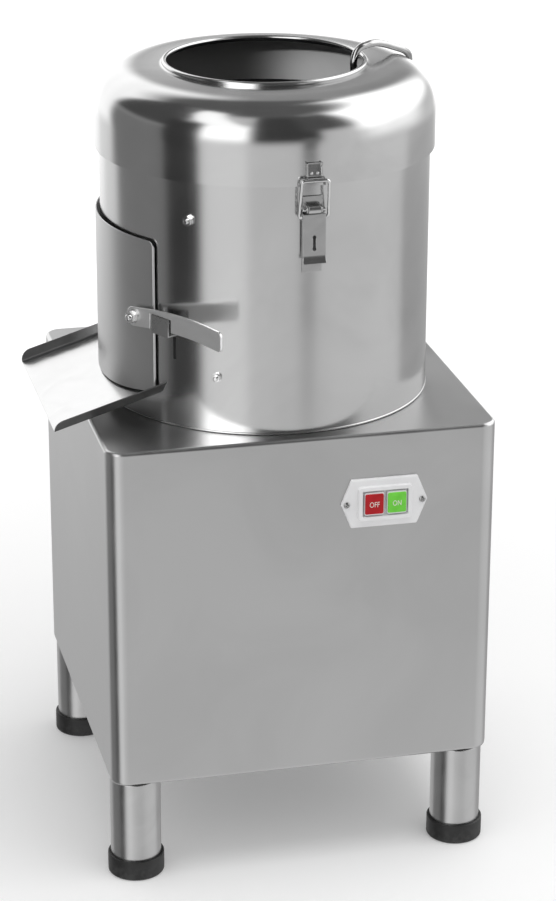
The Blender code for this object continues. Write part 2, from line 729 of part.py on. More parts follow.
def make_rear_panel(frame):
    """A lapped sheet with two banks of louvre slots, held by a screw at each side."""
    panel = prism(rounded_rectangle(PANEL_WIDTH, PANEL_HEIGHT, PANEL_CORNER), SEAT_GAP,
                  SEAT_GAP + PANEL_SHEET)
    panel = add("rear_panel", moved(panel, (0, REAR_PLANE, panel_middle()), TO_REAR), BRUSHED_STEEL, frame)
    slots = bmesh.new()
    for side in (-1, 1):
        for row in range(LOUVRE_COUNT):
            height = panel_middle() + (row - (LOUVRE_COUNT - 1) / 2) * LOUVRE_PITCH
            place = Matrix.Translation((side * PANEL_WIDTH / 4, REAR_PLANE, height))
            size = Matrix.Diagonal((LOUVRE_LENGTH, CUT_OVERRUN, LOUVRE_HEIGHT, 1))
            bmesh.ops.create_cube(slots, size=1, matrix=place @ size)
    shape_with(panel, slots, frame)
    for name, x in zip(("rear_panel_screw_left", "rear_panel_screw_right"), panel_screw_places()):
        shape_with(panel, screw_hole(SWITCH_SCREW_SHANK, (x, REAR_PLANE, panel_middle())), frame)
        screw = pan_screw(SWITCH_SCREW_HEAD, SWITCH_SCREW_HEIGHT, SWITCH_SCREW_SHANK, SWITCH_SCREW_LENGTH)
        place = (x, REAR_PLANE + PANEL_SHEET + 2 * SEAT_GAP, panel_middle())
        add(name, moved(screw, place, TO_REAR), ZINC_PLATE, frame)


def make_legs(frame):
    """Four tube legs with closed tops, each in a rubber cup."""
    top = CABINET_UNDERSIDE - SEAT_GAP
    foot = FOOT_BASE + SEAT_GAP
    bore = LEG_RADIUS - LEG_WALL
    cup = LEG_RADIUS + SEAT_GAP
    leg_outline = [(bore, top - LEG_WALL), (bore, foot), (LEG_RADIUS, foot), (LEG_RADIUS, top)]
    foot_outline = [(FOOT_RADIUS - FOOT_EDGE, 0), (FOOT_RADIUS, FOOT_EDGE),
                    (FOOT_RADIUS, FOOT_HEIGHT - FOOT_EDGE), (FOOT_RADIUS - FOOT_EDGE, FOOT_HEIGHT),
                    (cup, FOOT_HEIGHT), (cup, FOOT_BASE)]
    for corner, side_x, side_y in (("front_left", -1, -1), ("front_right", 1, -1),
                                   ("rear_left", -1, 1), ("rear_right", 1, 1)):
        place = (side_x * (CABINET_WIDTH / 2 - LEG_INSET), side_y * (CABINET_DEPTH / 2 - LEG_INSET), 0)
        add("leg_" + corner, moved(turned(leg_outline, MEDIUM_SIDES), place), BRUSHED_STEEL, frame)
        add("foot_" + corner, moved(turned(foot_outline, MEDIUM_SIDES), place), BLACK_RUBBER, frame)


# Drum

def radial_block(width, inner, outer, low, high):
    """A box in a station's axes, from one radius to another."""
    return block((width, outer - inner, high - low), (0, -(outer + inner) / 2, (low + high) / 2))


def opening_cutter():
    """A long box with round corners through the drum's left side."""
    depth = DRUM_RADIUS + CUT_OVERRUN
    ring = rounded_rectangle(OPENING_HEAD - OPENING_SILL, OPENING_WIDTH, OPENING_CORNER)
    shape = prism(ring, DRUM_RADIUS / 2, depth)
    return moved(shape, (0, 0, (OPENING_HEAD + OPENING_SILL) / 2), TO_LEFT)


def make_drum(drum):
    """The drum, its floor and its lining, with the discharge opening on the left."""
    half_bead = FOOT_BEAD_HEIGHT / 2
    outline = [(DRUM_BORE, DRUM_RIM), (DRUM_RADIUS, DRUM_RIM), (DRUM_RADIUS, DRUM_FOOT + FOOT_BEAD_HEIGHT)]
    for i in range(1, 5):
        angle = pi / 2 - pi * i / 5
        outline.append((DRUM_RADIUS + FOOT_BEAD_DEPTH * cos(angle), DRUM_FOOT + half_bead * (1 + sin(angle))))
    outline += [(DRUM_RADIUS, DRUM_FOOT), (DRUM_BORE, DRUM_FOOT)]
    shell = add("drum_shell", turned(outline, LARGE_SIDES, closed=True), POLISHED_STEEL, drum)
    shape_with(shell, opening_cutter(), drum)
    slot = station("slot_station", drum, SLOT_ANGLE)
    shape_with(shell, radial_block(SLOT_WIDTH, DRUM_BORE - SEAT_GAP / 2, DRUM_RADIUS + CUT_OVERRUN, SLOT_FOOT,
                                   SLOT_FOOT + SLOT_HEIGHT), slot)

    rim = DRUM_BORE - SEAT_GAP
    hole = HOUSING_RADIUS + HOLE_CLEARANCE
    turn_up = FLOOR_TOP + FLOOR_TURN_UP
    dish = [(hole, DRUM_FOOT), (rim, DRUM_FOOT), (rim, turn_up), (rim - FLOOR_SHEET, turn_up),
            (rim - FLOOR_SHEET, FLOOR_TOP), (hole, FLOOR_TOP)]
    floor = add("drum_floor", turned(dish, LARGE_SIDES, closed=True), POLISHED_STEEL, drum)
    drain = turned([(DRAIN_RADIUS + HOLE_CLEARANCE, DRUM_FOOT - CUT_OVERRUN),
                    (DRAIN_RADIUS + HOLE_CLEARANCE, FLOOR_TOP + CUT_OVERRUN)], SMALL_SIDES)
    shape_with(floor, moved(drain, (DRAIN_X, DRAIN_Y - DRUM_Y, 0)), drum)

    foot = turn_up + LINER_FLOOR_GAP
    top = DRUM_RIM - LINER_TOP_DROP
    sleeve = [(LINER_BORE, foot), (rim, foot), (rim, top), (LINER_BORE, top)]
    liner = add("abrasive_liner", turned(sleeve, LARGE_SIDES, closed=True), ABRASIVE_COAT, drum)
    shape_with(liner, opening_cutter(), drum)
    return shell, liner


def make_liner_bolts(drum, shell, liner):
    """Two bolts through the drum's wall into its lining."""
    for name, angle in LINER_BOLT_ANGLES.items():
        place = station(name + "_station", drum, angle)
        height = LINER_BOLT_HEIGHTS[name]
        length = DRUM_RADIUS + SEAT_GAP - LINER_BORE
        bolt = hex_bolt(LINER_BOLT_SIZES[name], LINER_BOLT_HEAD, LINER_SHANK_RADIUS, length, LINER_BOLT_STUD)
        add(name, moved(bolt, (0, -DRUM_RADIUS - SEAT_GAP, height), TO_FRONT), ZINC_PLATE, place)
        radius = LINER_SHANK_RADIUS + HOLE_CLEARANCE
        for wall in (shell, liner):
            hole = turned([(radius, -CUT_OVERRUN), (radius, CUT_OVERRUN)], BOLT_SIDES)
            shape_with(wall, moved(hole, (0, -DRUM_RADIUS, height), TO_FRONT), place)


# Discharge chute

def chute_floor(x):
    """Height of the tray's floor at a place left of the drum's axis."""
    return CHUTE_SILL + (x + DRUM_RADIUS) * CHUTE_SLOPE


def chute_ring(x, wall):
    """The tray's cross-section, with leaning side walls of the given rise."""
    lean = CHUTE_WALL_LEAN * wall / CHUTE_WALL_RISE
    half = CHUTE_HALF_WIDTH
    top = [(-half - lean, wall), (-half, 0), (half, 0), (half + lean, wall)]
    slant = hypot(CHUTE_WALL_RISE, CHUTE_WALL_LEAN)
    side = CHUTE_SHEET * slant / CHUTE_WALL_RISE
    under = [(half + lean + side, wall), (half + side, -CHUTE_SHEET), (-half - side, -CHUTE_SHEET),
             (-half - lean - side, wall)]
    return [Vector((x, y, chute_floor(x) + z)) for y, z in top + under]


def make_chute(drum):
    """A sloping tray whose walls round off at their outer ends, fitted round the drum."""
    outer = -DRUM_RADIUS - CHUTE_LENGTH
    rings = [chute_ring(-DRUM_RADIUS / 2, CHUTE_WALL_RISE)]
    steps = 4
    for i in range(steps + 1):
        angle = pi / 2 * i / steps
        wall = CHUTE_WALL_RISE - CHUTE_CORNER * (1 - cos(angle))
        rings.append(chute_ring(outer + CHUTE_CORNER * (1 - sin(angle)), wall))
    tray = add("discharge_chute", loft(rings), BRUSHED_STEEL, drum)
    body = turned([(DRUM_RADIUS + SEAT_GAP, DRUM_FOOT - CUT_OVERRUN), (DRUM_RADIUS + SEAT_GAP, DRUM_RIM)],
                  LARGE_SIDES)
    shape_with(tray, body, drum)


# Discharge door

def drum_place(radius, angle, height):
    """A place in the drum's axes."""
    return Vector((radius * cos(angle), radius * sin(angle), height))


def door_section(angle, low, high):
    """A slice of the curved door, at an angle from its middle."""
    corners = ((DOOR_BACK, low), (DOOR_FACE, low), (DOOR_FACE, high), (DOOR_BACK, high))
    return [Vector((-radius * cos(angle), -radius * sin(angle), height)) for radius, height in corners]


def below_chute(near, far, rise):
    """A cutter for everything under the tray's slope, lifted by rise, between two places across it."""
    rings = []
    for x in (-DRUM_RADIUS - CHUTE_LENGTH, 0.0):
        top = chute_floor(x) + rise
        rings.append([Vector((x, near, CABINET_UNDERSIDE)), Vector((x, far, CABINET_UNDERSIDE)),
                      Vector((x, far, top)), Vector((x, near, top))])
    return loft(rings)


def make_door(drum, hinge):
    """A curved plate over the discharge opening, with a hinge barrel at its far edge."""
    corner_steps = 4
    near = []
    for i in range(corner_steps + 1):
        turn = pi / 2 * i / corner_steps
        shrink = DOOR_CORNER / DOOR_FACE * (1 - cos(turn))
        near.append((DOOR_HALF_ANGLE - shrink, DOOR_CORNER * (1 - sin(turn))))
    flat = near[-1][0]
    middle = [(flat - 2 * flat * i / DOOR_STEPS, 0.0) for i in range(1, DOOR_STEPS)]
    far = [(-angle, drop) for angle, drop in reversed(near)]
    low = chute_floor(-DOOR_FACE) - CHUTE_SHEET
    rings = [door_section(angle, low, DOOR_TOP - drop) for angle, drop in near + middle + far]
    door = add("discharge_door", loft(rings), BRUSHED_STEEL, drum, hinge)
    across = 2 * DRUM_RADIUS
    shape_with(door, below_chute(-across, across, DOOR_SWEEP_CLEARANCE), drum, rides=hinge)
    raised = CHUTE_WALL_RISE + DOOR_SWEEP_CLEARANCE
    shape_with(door, below_chute(CHUTE_HALF_WIDTH - DOOR_RAISED_WIDTH, across, raised), drum, rides=hinge)

    half = DOOR_BARREL_LENGTH / 2
    leaf = station("door_leaf_station", drum, DOOR_HINGE_ANGLE, hinge)
    axis = DRUM_RADIUS + DOOR_HINGE_OFFSET
    root = (DOOR_BACK + DOOR_FACE) / 2
    web = block((2 * DOOR_BARREL_RADIUS, axis - root, DOOR_BARREL_LENGTH),
                (DOOR_BARREL_RADIUS, -(axis + root) / 2, DOOR_HINGE_MIDDLE))
    shape_with(door, web, leaf, "UNION")
    barrel = turned([(DOOR_BARREL_RADIUS, -half), (DOOR_BARREL_RADIUS, half)], SMALL_SIDES)
    shape_with(door, moved(barrel, (0, -axis, DOOR_HINGE_MIDDLE)), leaf, "UNION")
    bore = turned([(DOOR_PIN_RADIUS + HOLE_CLEARANCE, -half - CUT_OVERRUN),
                   (DOOR_PIN_RADIUS + HOLE_CLEARANCE, half + CUT_OVERRUN)], SMALL_SIDES)
    shape_with(door, moved(bore, (0, -axis, DOOR_HINGE_MIDDLE)), leaf)
    bolt_place = station("door_bolt_station", drum, LEVER_ANGLE, hinge)
    hole = turned([(LEVER_BOLT_RADIUS + HOLE_CLEARANCE, -CUT_OVERRUN),
                   (LEVER_BOLT_RADIUS + HOLE_CLEARANCE, CUT_OVERRUN)], SMALL_SIDES)
    shape_with(door, moved(hole, (0, -DOOR_FACE, LEVER_HEIGHT), TO_FRONT), bolt_place)


def make_door_hinge(drum):
    """A bracket with two ears on the drum, and the pin through them."""
    leaf_offset = HINGE_LEAF_WIDTH / 2 + 2 * DOOR_BARREL_RADIUS
    spread = asin(leaf_offset / DRUM_RADIUS)
    place = station("door_bracket_station", drum, DOOR_HINGE_ANGLE - spread)
    axis = DRUM_RADIUS + DOOR_HINGE_OFFSET
    pin_x = axis * sin(spread)
    pin_y = -axis * cos(spread)
    ear_low = DOOR_BARREL_LENGTH / 2 + RUNNING_GAP
    ear_high = ear_low + DOOR_EAR_THICKNESS
    back = DRUM_RADIUS + SEAT_GAP
    face = back + HINGE_LEAF_SHEET
    low = DOOR_HINGE_MIDDLE - ear_high
    leaf = radial_block(HINGE_LEAF_WIDTH, back, face, low, low + 2 * ear_high)
    bracket = add("door_hinge_bracket", leaf, BRUSHED_STEEL, place)
    half = HINGE_LEAF_WIDTH / 2
    root = (back + face) / 2
    for side in (-1, 1):
        outline = [Vector((-half, -root, 0)), Vector((half, -root, 0))]
        for i in range(9):
            angle = pi / 2 - pi * i / 8
            outline.append(Vector((pin_x + DOOR_BARREL_RADIUS * cos(angle),
                                   pin_y + DOOR_BARREL_RADIUS * sin(angle), 0)))
        low, high = sorted((side * ear_low, side * ear_high))
        ear = prism(outline, DOOR_HINGE_MIDDLE + low, DOOR_HINGE_MIDDLE + high)
        shape_with(bracket, ear, place, "UNION")
    radius = DOOR_PIN_RADIUS + HOLE_CLEARANCE
    hole = turned([(radius, -ear_high - CUT_OVERRUN), (radius, ear_high + CUT_OVERRUN)], SMALL_SIDES)
    shape_with(bracket, moved(hole, (pin_x, pin_y, DOOR_HINGE_MIDDLE)), place)
    top = ear_high + SEAT_GAP
    head = DOOR_PIN_RADIUS + DOOR_PIN_HEAD
    pin = turned([(head, -top - DOOR_PIN_HEAD), (head, -top), (DOOR_PIN_RADIUS, -top), (DOOR_PIN_RADIUS, top),
                  (head, top), (head, top + DOOR_PIN_HEAD)], SMALL_SIDES)
    add("door_hinge_pin", moved(pin, (pin_x, pin_y, DOOR_HINGE_MIDDLE)), BRUSHED_STEEL, place)


# Door lever and catch

def lever_middle(x):
    """Height of the blade's middle above its bolt, at a distance along it."""
    return LEVER_CAMBER * sin(LEVER_CAMBER_TURN * x / LEVER_LENGTH)


def lever_outline():
    """The cambered blade: round at the bolt, with small corner rounds at the tip."""
    half = LEVER_WIDTH / 2
    points = []
    for i in range(9):
        angle = pi / 2 + pi * i / 8
        points.append(Vector((half * cos(angle), half * sin(angle), 0)))
    steps = LEVER_STEPS
    straight = LEVER_LENGTH - LEVER_TIP_RADIUS
    for i in range(1, steps + 1):
        x = straight * i / steps
        points.append(Vector((x, lever_middle(x) - half, 0)))
    for side in (-1, 1):
        centre = Vector((straight, lever_middle(straight) + side * (half - LEVER_TIP_RADIUS), 0))
        for i in range(1, 4):
            angle = pi / 2 * (i / 3 - (1 if side < 0 else 0))
            points.append(centre + LEVER_TIP_RADIUS * Vector((cos(angle), sin(angle), 0)))
    for i in range(steps - 1, 0, -1):
        x = straight * i / steps
        points.append(Vector((x, lever_middle(x) + half, 0)))
    return points


def make_lever(drum, hinge):
    """The door's lever, its pivot bolt and the catch that its notch drops over."""
    place = station("lever_station", drum, LEVER_ANGLE, hinge)
    turn = pivot("door_lever_pivot", place, (0, -LEVER_BACK, LEVER_HEIGHT))
    blade = moved(prism(lever_outline(), 0, LEVER_THICKNESS), (0, -LEVER_BACK, LEVER_HEIGHT), TO_FRONT)
    lever = add("door_lever", blade, BRUSHED_STEEL, place, turn)
    hole = turned([(LEVER_BOLT_RADIUS + HOLE_CLEARANCE, -CUT_OVERRUN),
                   (LEVER_BOLT_RADIUS + HOLE_CLEARANCE, CUT_OVERRUN)], SMALL_SIDES)
    shape_with(lever, moved(hole, (0, -LEVER_BACK, LEVER_HEIGHT), TO_FRONT), place, rides=turn)
    notch_top = CATCH_FOOT + CATCH_HEIGHT + SEAT_GAP
    width = CATCH_WIDTH + 2 * NOTCH_SIDE_CLEARANCE
    notch = block((width, LEVER_THICKNESS + CUT_OVERRUN, LEVER_WIDTH),
                  (CATCH_START + CATCH_WIDTH / 2, -LEVER_BACK, notch_top - LEVER_WIDTH / 2))
    shape_with(lever, notch, place, rides=turn)

    collar_back = DOOR_FACE + SEAT_GAP
    rear = DOOR_BACK - collar_back
    front = LEVER_BACK - SEAT_GAP - collar_back
    head = LEVER_FACE + SEAT_GAP - collar_back
    flat = LEVER_HEAD_RADIUS * cos(pi / 6)
    rings = [circle(LEVER_BOLT_RADIUS, rear, BOLT_SIDES), circle(LEVER_BOLT_RADIUS, 0, BOLT_SIDES),
             circle(LEVER_COLLAR_RADIUS, 0, BOLT_SIDES), circle(LEVER_COLLAR_RADIUS, front, BOLT_SIDES),
             circle(LEVER_BOLT_RADIUS, front, BOLT_SIDES), circle(LEVER_BOLT_RADIUS, head, BOLT_SIDES),
             hexagon(LEVER_HEAD_RADIUS, head), hexagon(LEVER_HEAD_RADIUS, head + LEVER_HEAD_HEIGHT),
             circle(flat, head + LEVER_HEAD_HEIGHT * 1.15, BOLT_SIDES)]
    bolt = moved(loft(rings), (0, -collar_back, LEVER_HEIGHT), TO_FRONT)
    add("door_pivot_bolt", bolt, ZINC_PLATE, station("bolt_station", drum, LEVER_ANGLE, hinge), None)

    fixed = station("catch_station", drum, LEVER_ANGLE)
    middle = CATCH_START + CATCH_WIDTH / 2
    face = LEVER_FACE + CATCH_SHEET / 2
    shelf = block((CATCH_WIDTH, face - DRUM_RADIUS / 2, CATCH_SHEET),
                  (middle, -(face + DRUM_RADIUS / 2) / 2, CATCH_FOOT + CATCH_SHEET / 2))
    catch = add("door_catch", shelf, BRUSHED_STEEL, fixed)
    lip = block((CATCH_WIDTH, CATCH_SHEET, CATCH_HEIGHT),
                (middle, -face + CATCH_SHEET / 2, CATCH_FOOT + CATCH_HEIGHT / 2))
    shape_with(catch, lip, fixed, "UNION")
    body = turned([(DRUM_RADIUS + SEAT_GAP, DRUM_FOOT), (DRUM_RADIUS + SEAT_GAP, DRUM_RIM)], LARGE_SIDES)
    shape_with(catch, body, drum)


# Toggle latch

def make_latch(drum):
    """The drum's half of the toggle latch: base with ears, pin, lever and wire bail."""
    place = station("latch_station", drum, LATCH_ANGLE)
    back = DRUM_RADIUS + SEAT_GAP
    base = add("latch_base", radial_block(LATCH_BASE_WIDTH, back, back + LATCH_SHEET, LATCH_BASE_FOOT,
                                          LATCH_BASE_FOOT + LATCH_BASE_HEIGHT), BRUSHED_STEEL, place)
    axis = DRUM_RADIUS + LATCH_PIVOT_STANDOFF
    root = back + LATCH_SHEET / 2
    for side in (-1, 1):
        middle = side * LATCH_EAR_SPACING / 2
        profile = [(root, -LATCH_EAR_RADIUS), (root, LATCH_EAR_RADIUS)]
        for i in range(9):
            angle = pi / 2 - pi * i / 8
            profile.append((axis + LATCH_EAR_RADIUS * cos(angle), LATCH_EAR_RADIUS * sin(angle)))
        ear = loft([[Vector((x, -out, LATCH_PIVOT_HEIGHT + up)) for out, up in profile]
                    for x in (middle - LATCH_SHEET / 2, middle + LATCH_SHEET / 2)])
        shape_with(base, ear, place, "UNION")
    across = LEVER_PLATE_WIDTH / 2
    hole = turned([(LATCH_PIN_RADIUS + HOLE_CLEARANCE, -across - CUT_OVERRUN),
                   (LATCH_PIN_RADIUS + HOLE_CLEARANCE, across + CUT_OVERRUN)], BOLT_SIDES)
    shape_with(base, moved(hole, (0, -axis, LATCH_PIVOT_HEIGHT), TO_RIGHT), place)
    pin = turned([(LATCH_PIN_RADIUS, -across), (LATCH_PIN_RADIUS, across)], BOLT_SIDES)
    add("latch_pin", moved(pin, (0, -axis, LATCH_PIVOT_HEIGHT), TO_RIGHT), ZINC_PLATE, place)

    turn = pivot("latch_lever_pivot", place, (0, -axis, LATCH_PIVOT_HEIGHT))
    outer = DRUM_RADIUS + LEVER_PLATE_STANDOFF
    tail = LEVER_PLATE_FOOT + LEVER_TAIL_LENGTH
    plate = radial_block(LEVER_PLATE_WIDTH, outer - LATCH_SHEET, outer, tail, LEVER_PLATE_HEAD)
    lever = add("latch_lever", plate, BRUSHED_STEEL, place, turn)
    lap = LATCH_SHEET / 4
    half = across - lap
    curl = [Vector((-half, -outer + LATCH_SHEET / 2, tail + LATCH_SHEET)),
            Vector((-half, -outer - LEVER_TAIL_CURL, LEVER_PLATE_FOOT)),
            Vector((-half, -outer - LEVER_TAIL_CURL - LATCH_SHEET / 2, LEVER_PLATE_FOOT)),
            Vector((-half, -outer + lap, tail + LATCH_SHEET))]
    shape_with(lever, loft([curl, [p + Vector((2 * half, 0, 0)) for p in curl]]), place, "UNION", turn)
    for side in (-1, 1):
        flange = radial_block(LATCH_SHEET, outer - LEVER_FLANGE_DEPTH, outer - LATCH_SHEET / 2, tail + lap,
                              LEVER_PLATE_HEAD - lap)
        flange = moved(flange, (side * (half - LATCH_SHEET / 2), 0, 0))
        shape_with(lever, flange, place, "UNION", turn)
    barrel_half = (LATCH_EAR_SPACING - LATCH_SHEET) / 2 - RUNNING_GAP
    barrel = turned([(LATCH_BARREL_RADIUS, -barrel_half), (LATCH_BARREL_RADIUS, barrel_half)], SMALL_SIDES)
    shape_with(lever, moved(barrel, (0, -axis, LATCH_PIVOT_HEIGHT), TO_RIGHT), place, "UNION", turn)
    tongue = radial_block(2 * barrel_half, outer - LATCH_SHEET + lap, outer - lap,
                          LEVER_PLATE_HEAD - LATCH_SHEET, LATCH_PIVOT_HEIGHT)
    shape_with(lever, tongue, place, "UNION", turn)
    bore = turned([(LATCH_PIN_RADIUS + HOLE_CLEARANCE, -across - CUT_OVERRUN),
                   (LATCH_PIN_RADIUS + HOLE_CLEARANCE, across + CUT_OVERRUN)], BOLT_SIDES)
    shape_with(lever, moved(bore, (0, -axis, LATCH_PIVOT_HEIGHT), TO_RIGHT), place, rides=turn)
    slot = prism(rounded_rectangle(LEVER_SLOT_WIDTH, LEVER_SLOT_HEIGHT, LEVER_SLOT_WIDTH / 2 - SEAT_GAP),
                 -CUT_OVERRUN / 2, CUT_OVERRUN / 2)
    place_slot = (0, -outer, LEVER_SLOT_FOOT + LEVER_SLOT_HEIGHT / 2)
    shape_with(lever, moved(slot, place_slot, TO_FRONT), place, rides=turn)

    foot = LATCH_PIVOT_HEIGHT - BAIL_PIVOT_DROP
    hinge_y = -DRUM_RADIUS - BAIL_PIVOT_STANDOFF
    hole = turned([(BAIL_WIRE + HOLE_CLEARANCE, -across - CUT_OVERRUN),
                   (BAIL_WIRE + HOLE_CLEARANCE, across + CUT_OVERRUN)], BOLT_SIDES)
    shape_with(lever, moved(hole, (0, hinge_y, foot), TO_RIGHT), place, rides=turn)
    swing = pivot("latch_bail_pivot", place, (0, hinge_y, foot), turn)
    bar_y = -(LID_RADIUS + SEAT_GAP + KEEPER_DEPTH + SEAT_GAP + BAIL_WIRE)
    end = across - LATCH_SHEET - BAIL_END_REACH
    corners = []
    for side in (-1, 1):
        arm = [Vector((side * end, hinge_y, foot)), Vector((side * BAIL_FOOT_HALF_WIDTH, hinge_y, foot)),
               Vector((side * BAIL_TOP_HALF_WIDTH, bar_y, BAIL_BAR_HEIGHT))]
        corners += arm if side < 0 else arm[::-1]
    bail = wire(rounded_path(corners, BAIL_CORNER), BAIL_WIRE, WIRE_SIDES)
    add("latch_bail", bail, ZINC_PLATE, place, swing)


def make_keeper(drum, hinge):
    """A hooked strip on the lid's skirt: flat above, curled forward and up at its foot."""
    place = station("keeper_station", drum, LATCH_ANGLE, hinge)
    back = -LID_RADIUS - SEAT_GAP
    sheet = KEEPER_SHEET
    front = back - KEEPER_DEPTH
    foot = KEEPER_FOOT
    outline = [(back, foot + sheet), (back, foot + KEEPER_HEIGHT), (back - sheet, foot + KEEPER_HEIGHT),
               (back - sheet, foot + 2 * sheet), (front + sheet, foot + 2 * sheet),
               (front + sheet, foot + KEEPER_LIP), (front, foot + KEEPER_LIP), (front, foot + sheet),
               (front + sheet, foot), (back - sheet, foot)]
    half = KEEPER_WIDTH / 2
    rings = [[Vector((x, y, z)) for y, z in outline] for x in (-half, half)]
    add("latch_keeper", loft(rings), BRUSHED_STEEL, place)


# Lid

def shoulder(turn, grow=0.0):
    """A point on the lid's shoulder, from its skirt at nought to its top at a quarter turn."""
    rise = LID_TOP - SHOULDER_START + grow
    reach = SHOULDER_REACH + grow
    radius = LID_RADIUS - SHOULDER_REACH + reach * max(cos(turn), 0.0) ** SHOULDER_FULLNESS
    return radius, SHOULDER_START + rise * max(sin(turn), 0.0) ** SHOULDER_FULLNESS


def lid_outline():
    """The lid's section: skirt, shoulder, level top, and a bead round the opening."""
    bead = (FEED_RADIUS + BEAD_RADIUS, LID_TOP + BEAD_RISE)
    outer = [(LID_RADIUS, LID_SKIRT_FOOT)]
    outer += [shoulder(pi / 2 * i / SHOULDER_STEPS) for i in range(SHOULDER_STEPS + 1)]
    outer.append((bead[0] + BEAD_RADIUS + BEAD_FILLET, LID_TOP))
    for i in range(BEAD_STEPS + 1):
        turn = -pi / 9 + (pi + 2 * pi / 9) * i / BEAD_STEPS
        outer.append((bead[0] + BEAD_RADIUS * cos(turn), bead[1] + BEAD_RADIUS * sin(turn)))
    inner = [(bead[0], LID_TOP - LID_SHEET)]
    steps = SHOULDER_INNER_STEPS
    inner += [shoulder(pi / 2 * i / steps, -LID_SHEET) for i in range(steps, -1, -1)]
    inner.append((LID_RADIUS - LID_SHEET, LID_SKIRT_FOOT))
    return outer + inner


def lid_hinge_height():
    return LID_SKIRT_FOOT - LID_HINGE_DROP


def make_lid(drum, hinge):
    """The domed lid and the hinge leaf at its rear."""
    add("lid_shell", turned(lid_outline(), LARGE_SIDES, closed=True), POLISHED_STEEL, drum, hinge)
    place = station("lid_leaf_station", drum, pi / 2, hinge)
    axis = DRUM_RADIUS + LID_HINGE_OFFSET
    back = LID_RADIUS + SEAT_GAP
    height = lid_hinge_height()
    leaf = radial_block(LID_BARREL_LENGTH, back, back + LID_LEAF_SHEET, height, height + LID_LEAF_HEIGHT)
    leaf = add("lid_hinge_leaf", leaf, POLISHED_STEEL, place)
    web = radial_block(LID_BARREL_LENGTH, back, axis, height - LID_LEAF_SHEET / 2, height + LID_BARREL_RADIUS)
    shape_with(leaf, web, place, "UNION")
    half = LID_BARREL_LENGTH / 2
    barrel = turned([(LID_BARREL_RADIUS, -half), (LID_BARREL_RADIUS, half)], SMALL_SIDES)
    shape_with(leaf, moved(barrel, (0, -axis, height), TO_RIGHT), place, "UNION")
    radius = LID_PIN_RADIUS + HOLE_CLEARANCE
    bore = turned([(radius, -half - CUT_OVERRUN), (radius, half + CUT_OVERRUN)], SMALL_SIDES)
    shape_with(leaf, moved(bore, (0, -axis, height), TO_RIGHT), place)


def make_lid_hinge(drum):
    """The bracket at the rear of the drum and the pin through its ears."""
    place = station("lid_bracket_station", drum, pi / 2)
    axis = DRUM_RADIUS + LID_HINGE_OFFSET
    height = lid_hinge_height()
    top = height + LID_EAR_RISE
    ear_in = LID_BARREL_LENGTH / 2 + RUNNING_GAP
    ear_out = ear_in + LID_EAR_THICKNESS
    back = DRUM_RADIUS + SEAT_GAP
    lap = LID_BRACKET_SHEET / 4
    plate = radial_block(2 * (ear_out + lap), back, back + LID_BRACKET_SHEET, top - LID_BRACKET_HEIGHT, top)
    bracket = add("lid_hinge_bracket", plate, BRUSHED_STEEL, place)
    for side in (-1, 1):
        ear = radial_block(LID_EAR_THICKNESS, back + lap, axis + LID_BARREL_RADIUS, height - LID_EAR_RISE,
                           top - lap)
        shape_with(bracket, moved(ear, (side * (ear_in + ear_out) / 2, 0, 0)), place, "UNION")
    radius = LID_PIN_RADIUS + HOLE_CLEARANCE
    hole = turned([(radius, -ear_out - CUT_OVERRUN), (radius, ear_out + CUT_OVERRUN)], SMALL_SIDES)
    shape_with(bracket, moved(hole, (0, -axis, height), TO_RIGHT), place)
    end = ear_out + SEAT_GAP
    head = LID_PIN_RADIUS + LID_PIN_HEAD / 2
    pin = turned([(head, -end - LID_PIN_HEAD), (head, -end), (LID_PIN_RADIUS, -end), (LID_PIN_RADIUS, end),
                  (head, end), (head, end + LID_PIN_HEAD)], SMALL_SIDES)
    add("lid_hinge_pin", moved(pin, (0, -axis, height), TO_RIGHT), ZINC_PLATE, place)


def pipe_route():
    """From inside the feed opening, over the bead, then down the shoulder and the skirt."""
    turn = PIPE_TAIL_ANGLE - PIPE_TIP_ANGLE
    rim = LID_TOP + BEAD_RISE + BEAD_RADIUS
    points = []
    for out, up, along in PIPE_ARCH_SHARES:
        points.append(drum_place(FEED_RADIUS + out * PIPE_ARCH_REACH, PIPE_TIP_ANGLE + turn * along,
                                 rim + up * PIPE_ARCH_RISE))
    lift = PIPE_RADIUS + PIPE_SKIN_GAP
    for down, along in PIPE_SHOULDER_SHARES:
        radius, height = shoulder(pi / 2 * (1 - down), lift)
        points.append(drum_place(radius, PIPE_TIP_ANGLE + turn * along, height))
    half = CLIP_WIDTH / 2
    for height in (SHOULDER_START - lift, CLIP_HEIGHT + half, CLIP_HEIGHT - half, PIPE_TAIL_HEIGHT):
        points.append(drum_place(LID_RADIUS + lift, PIPE_TAIL_ANGLE, height))
    return points


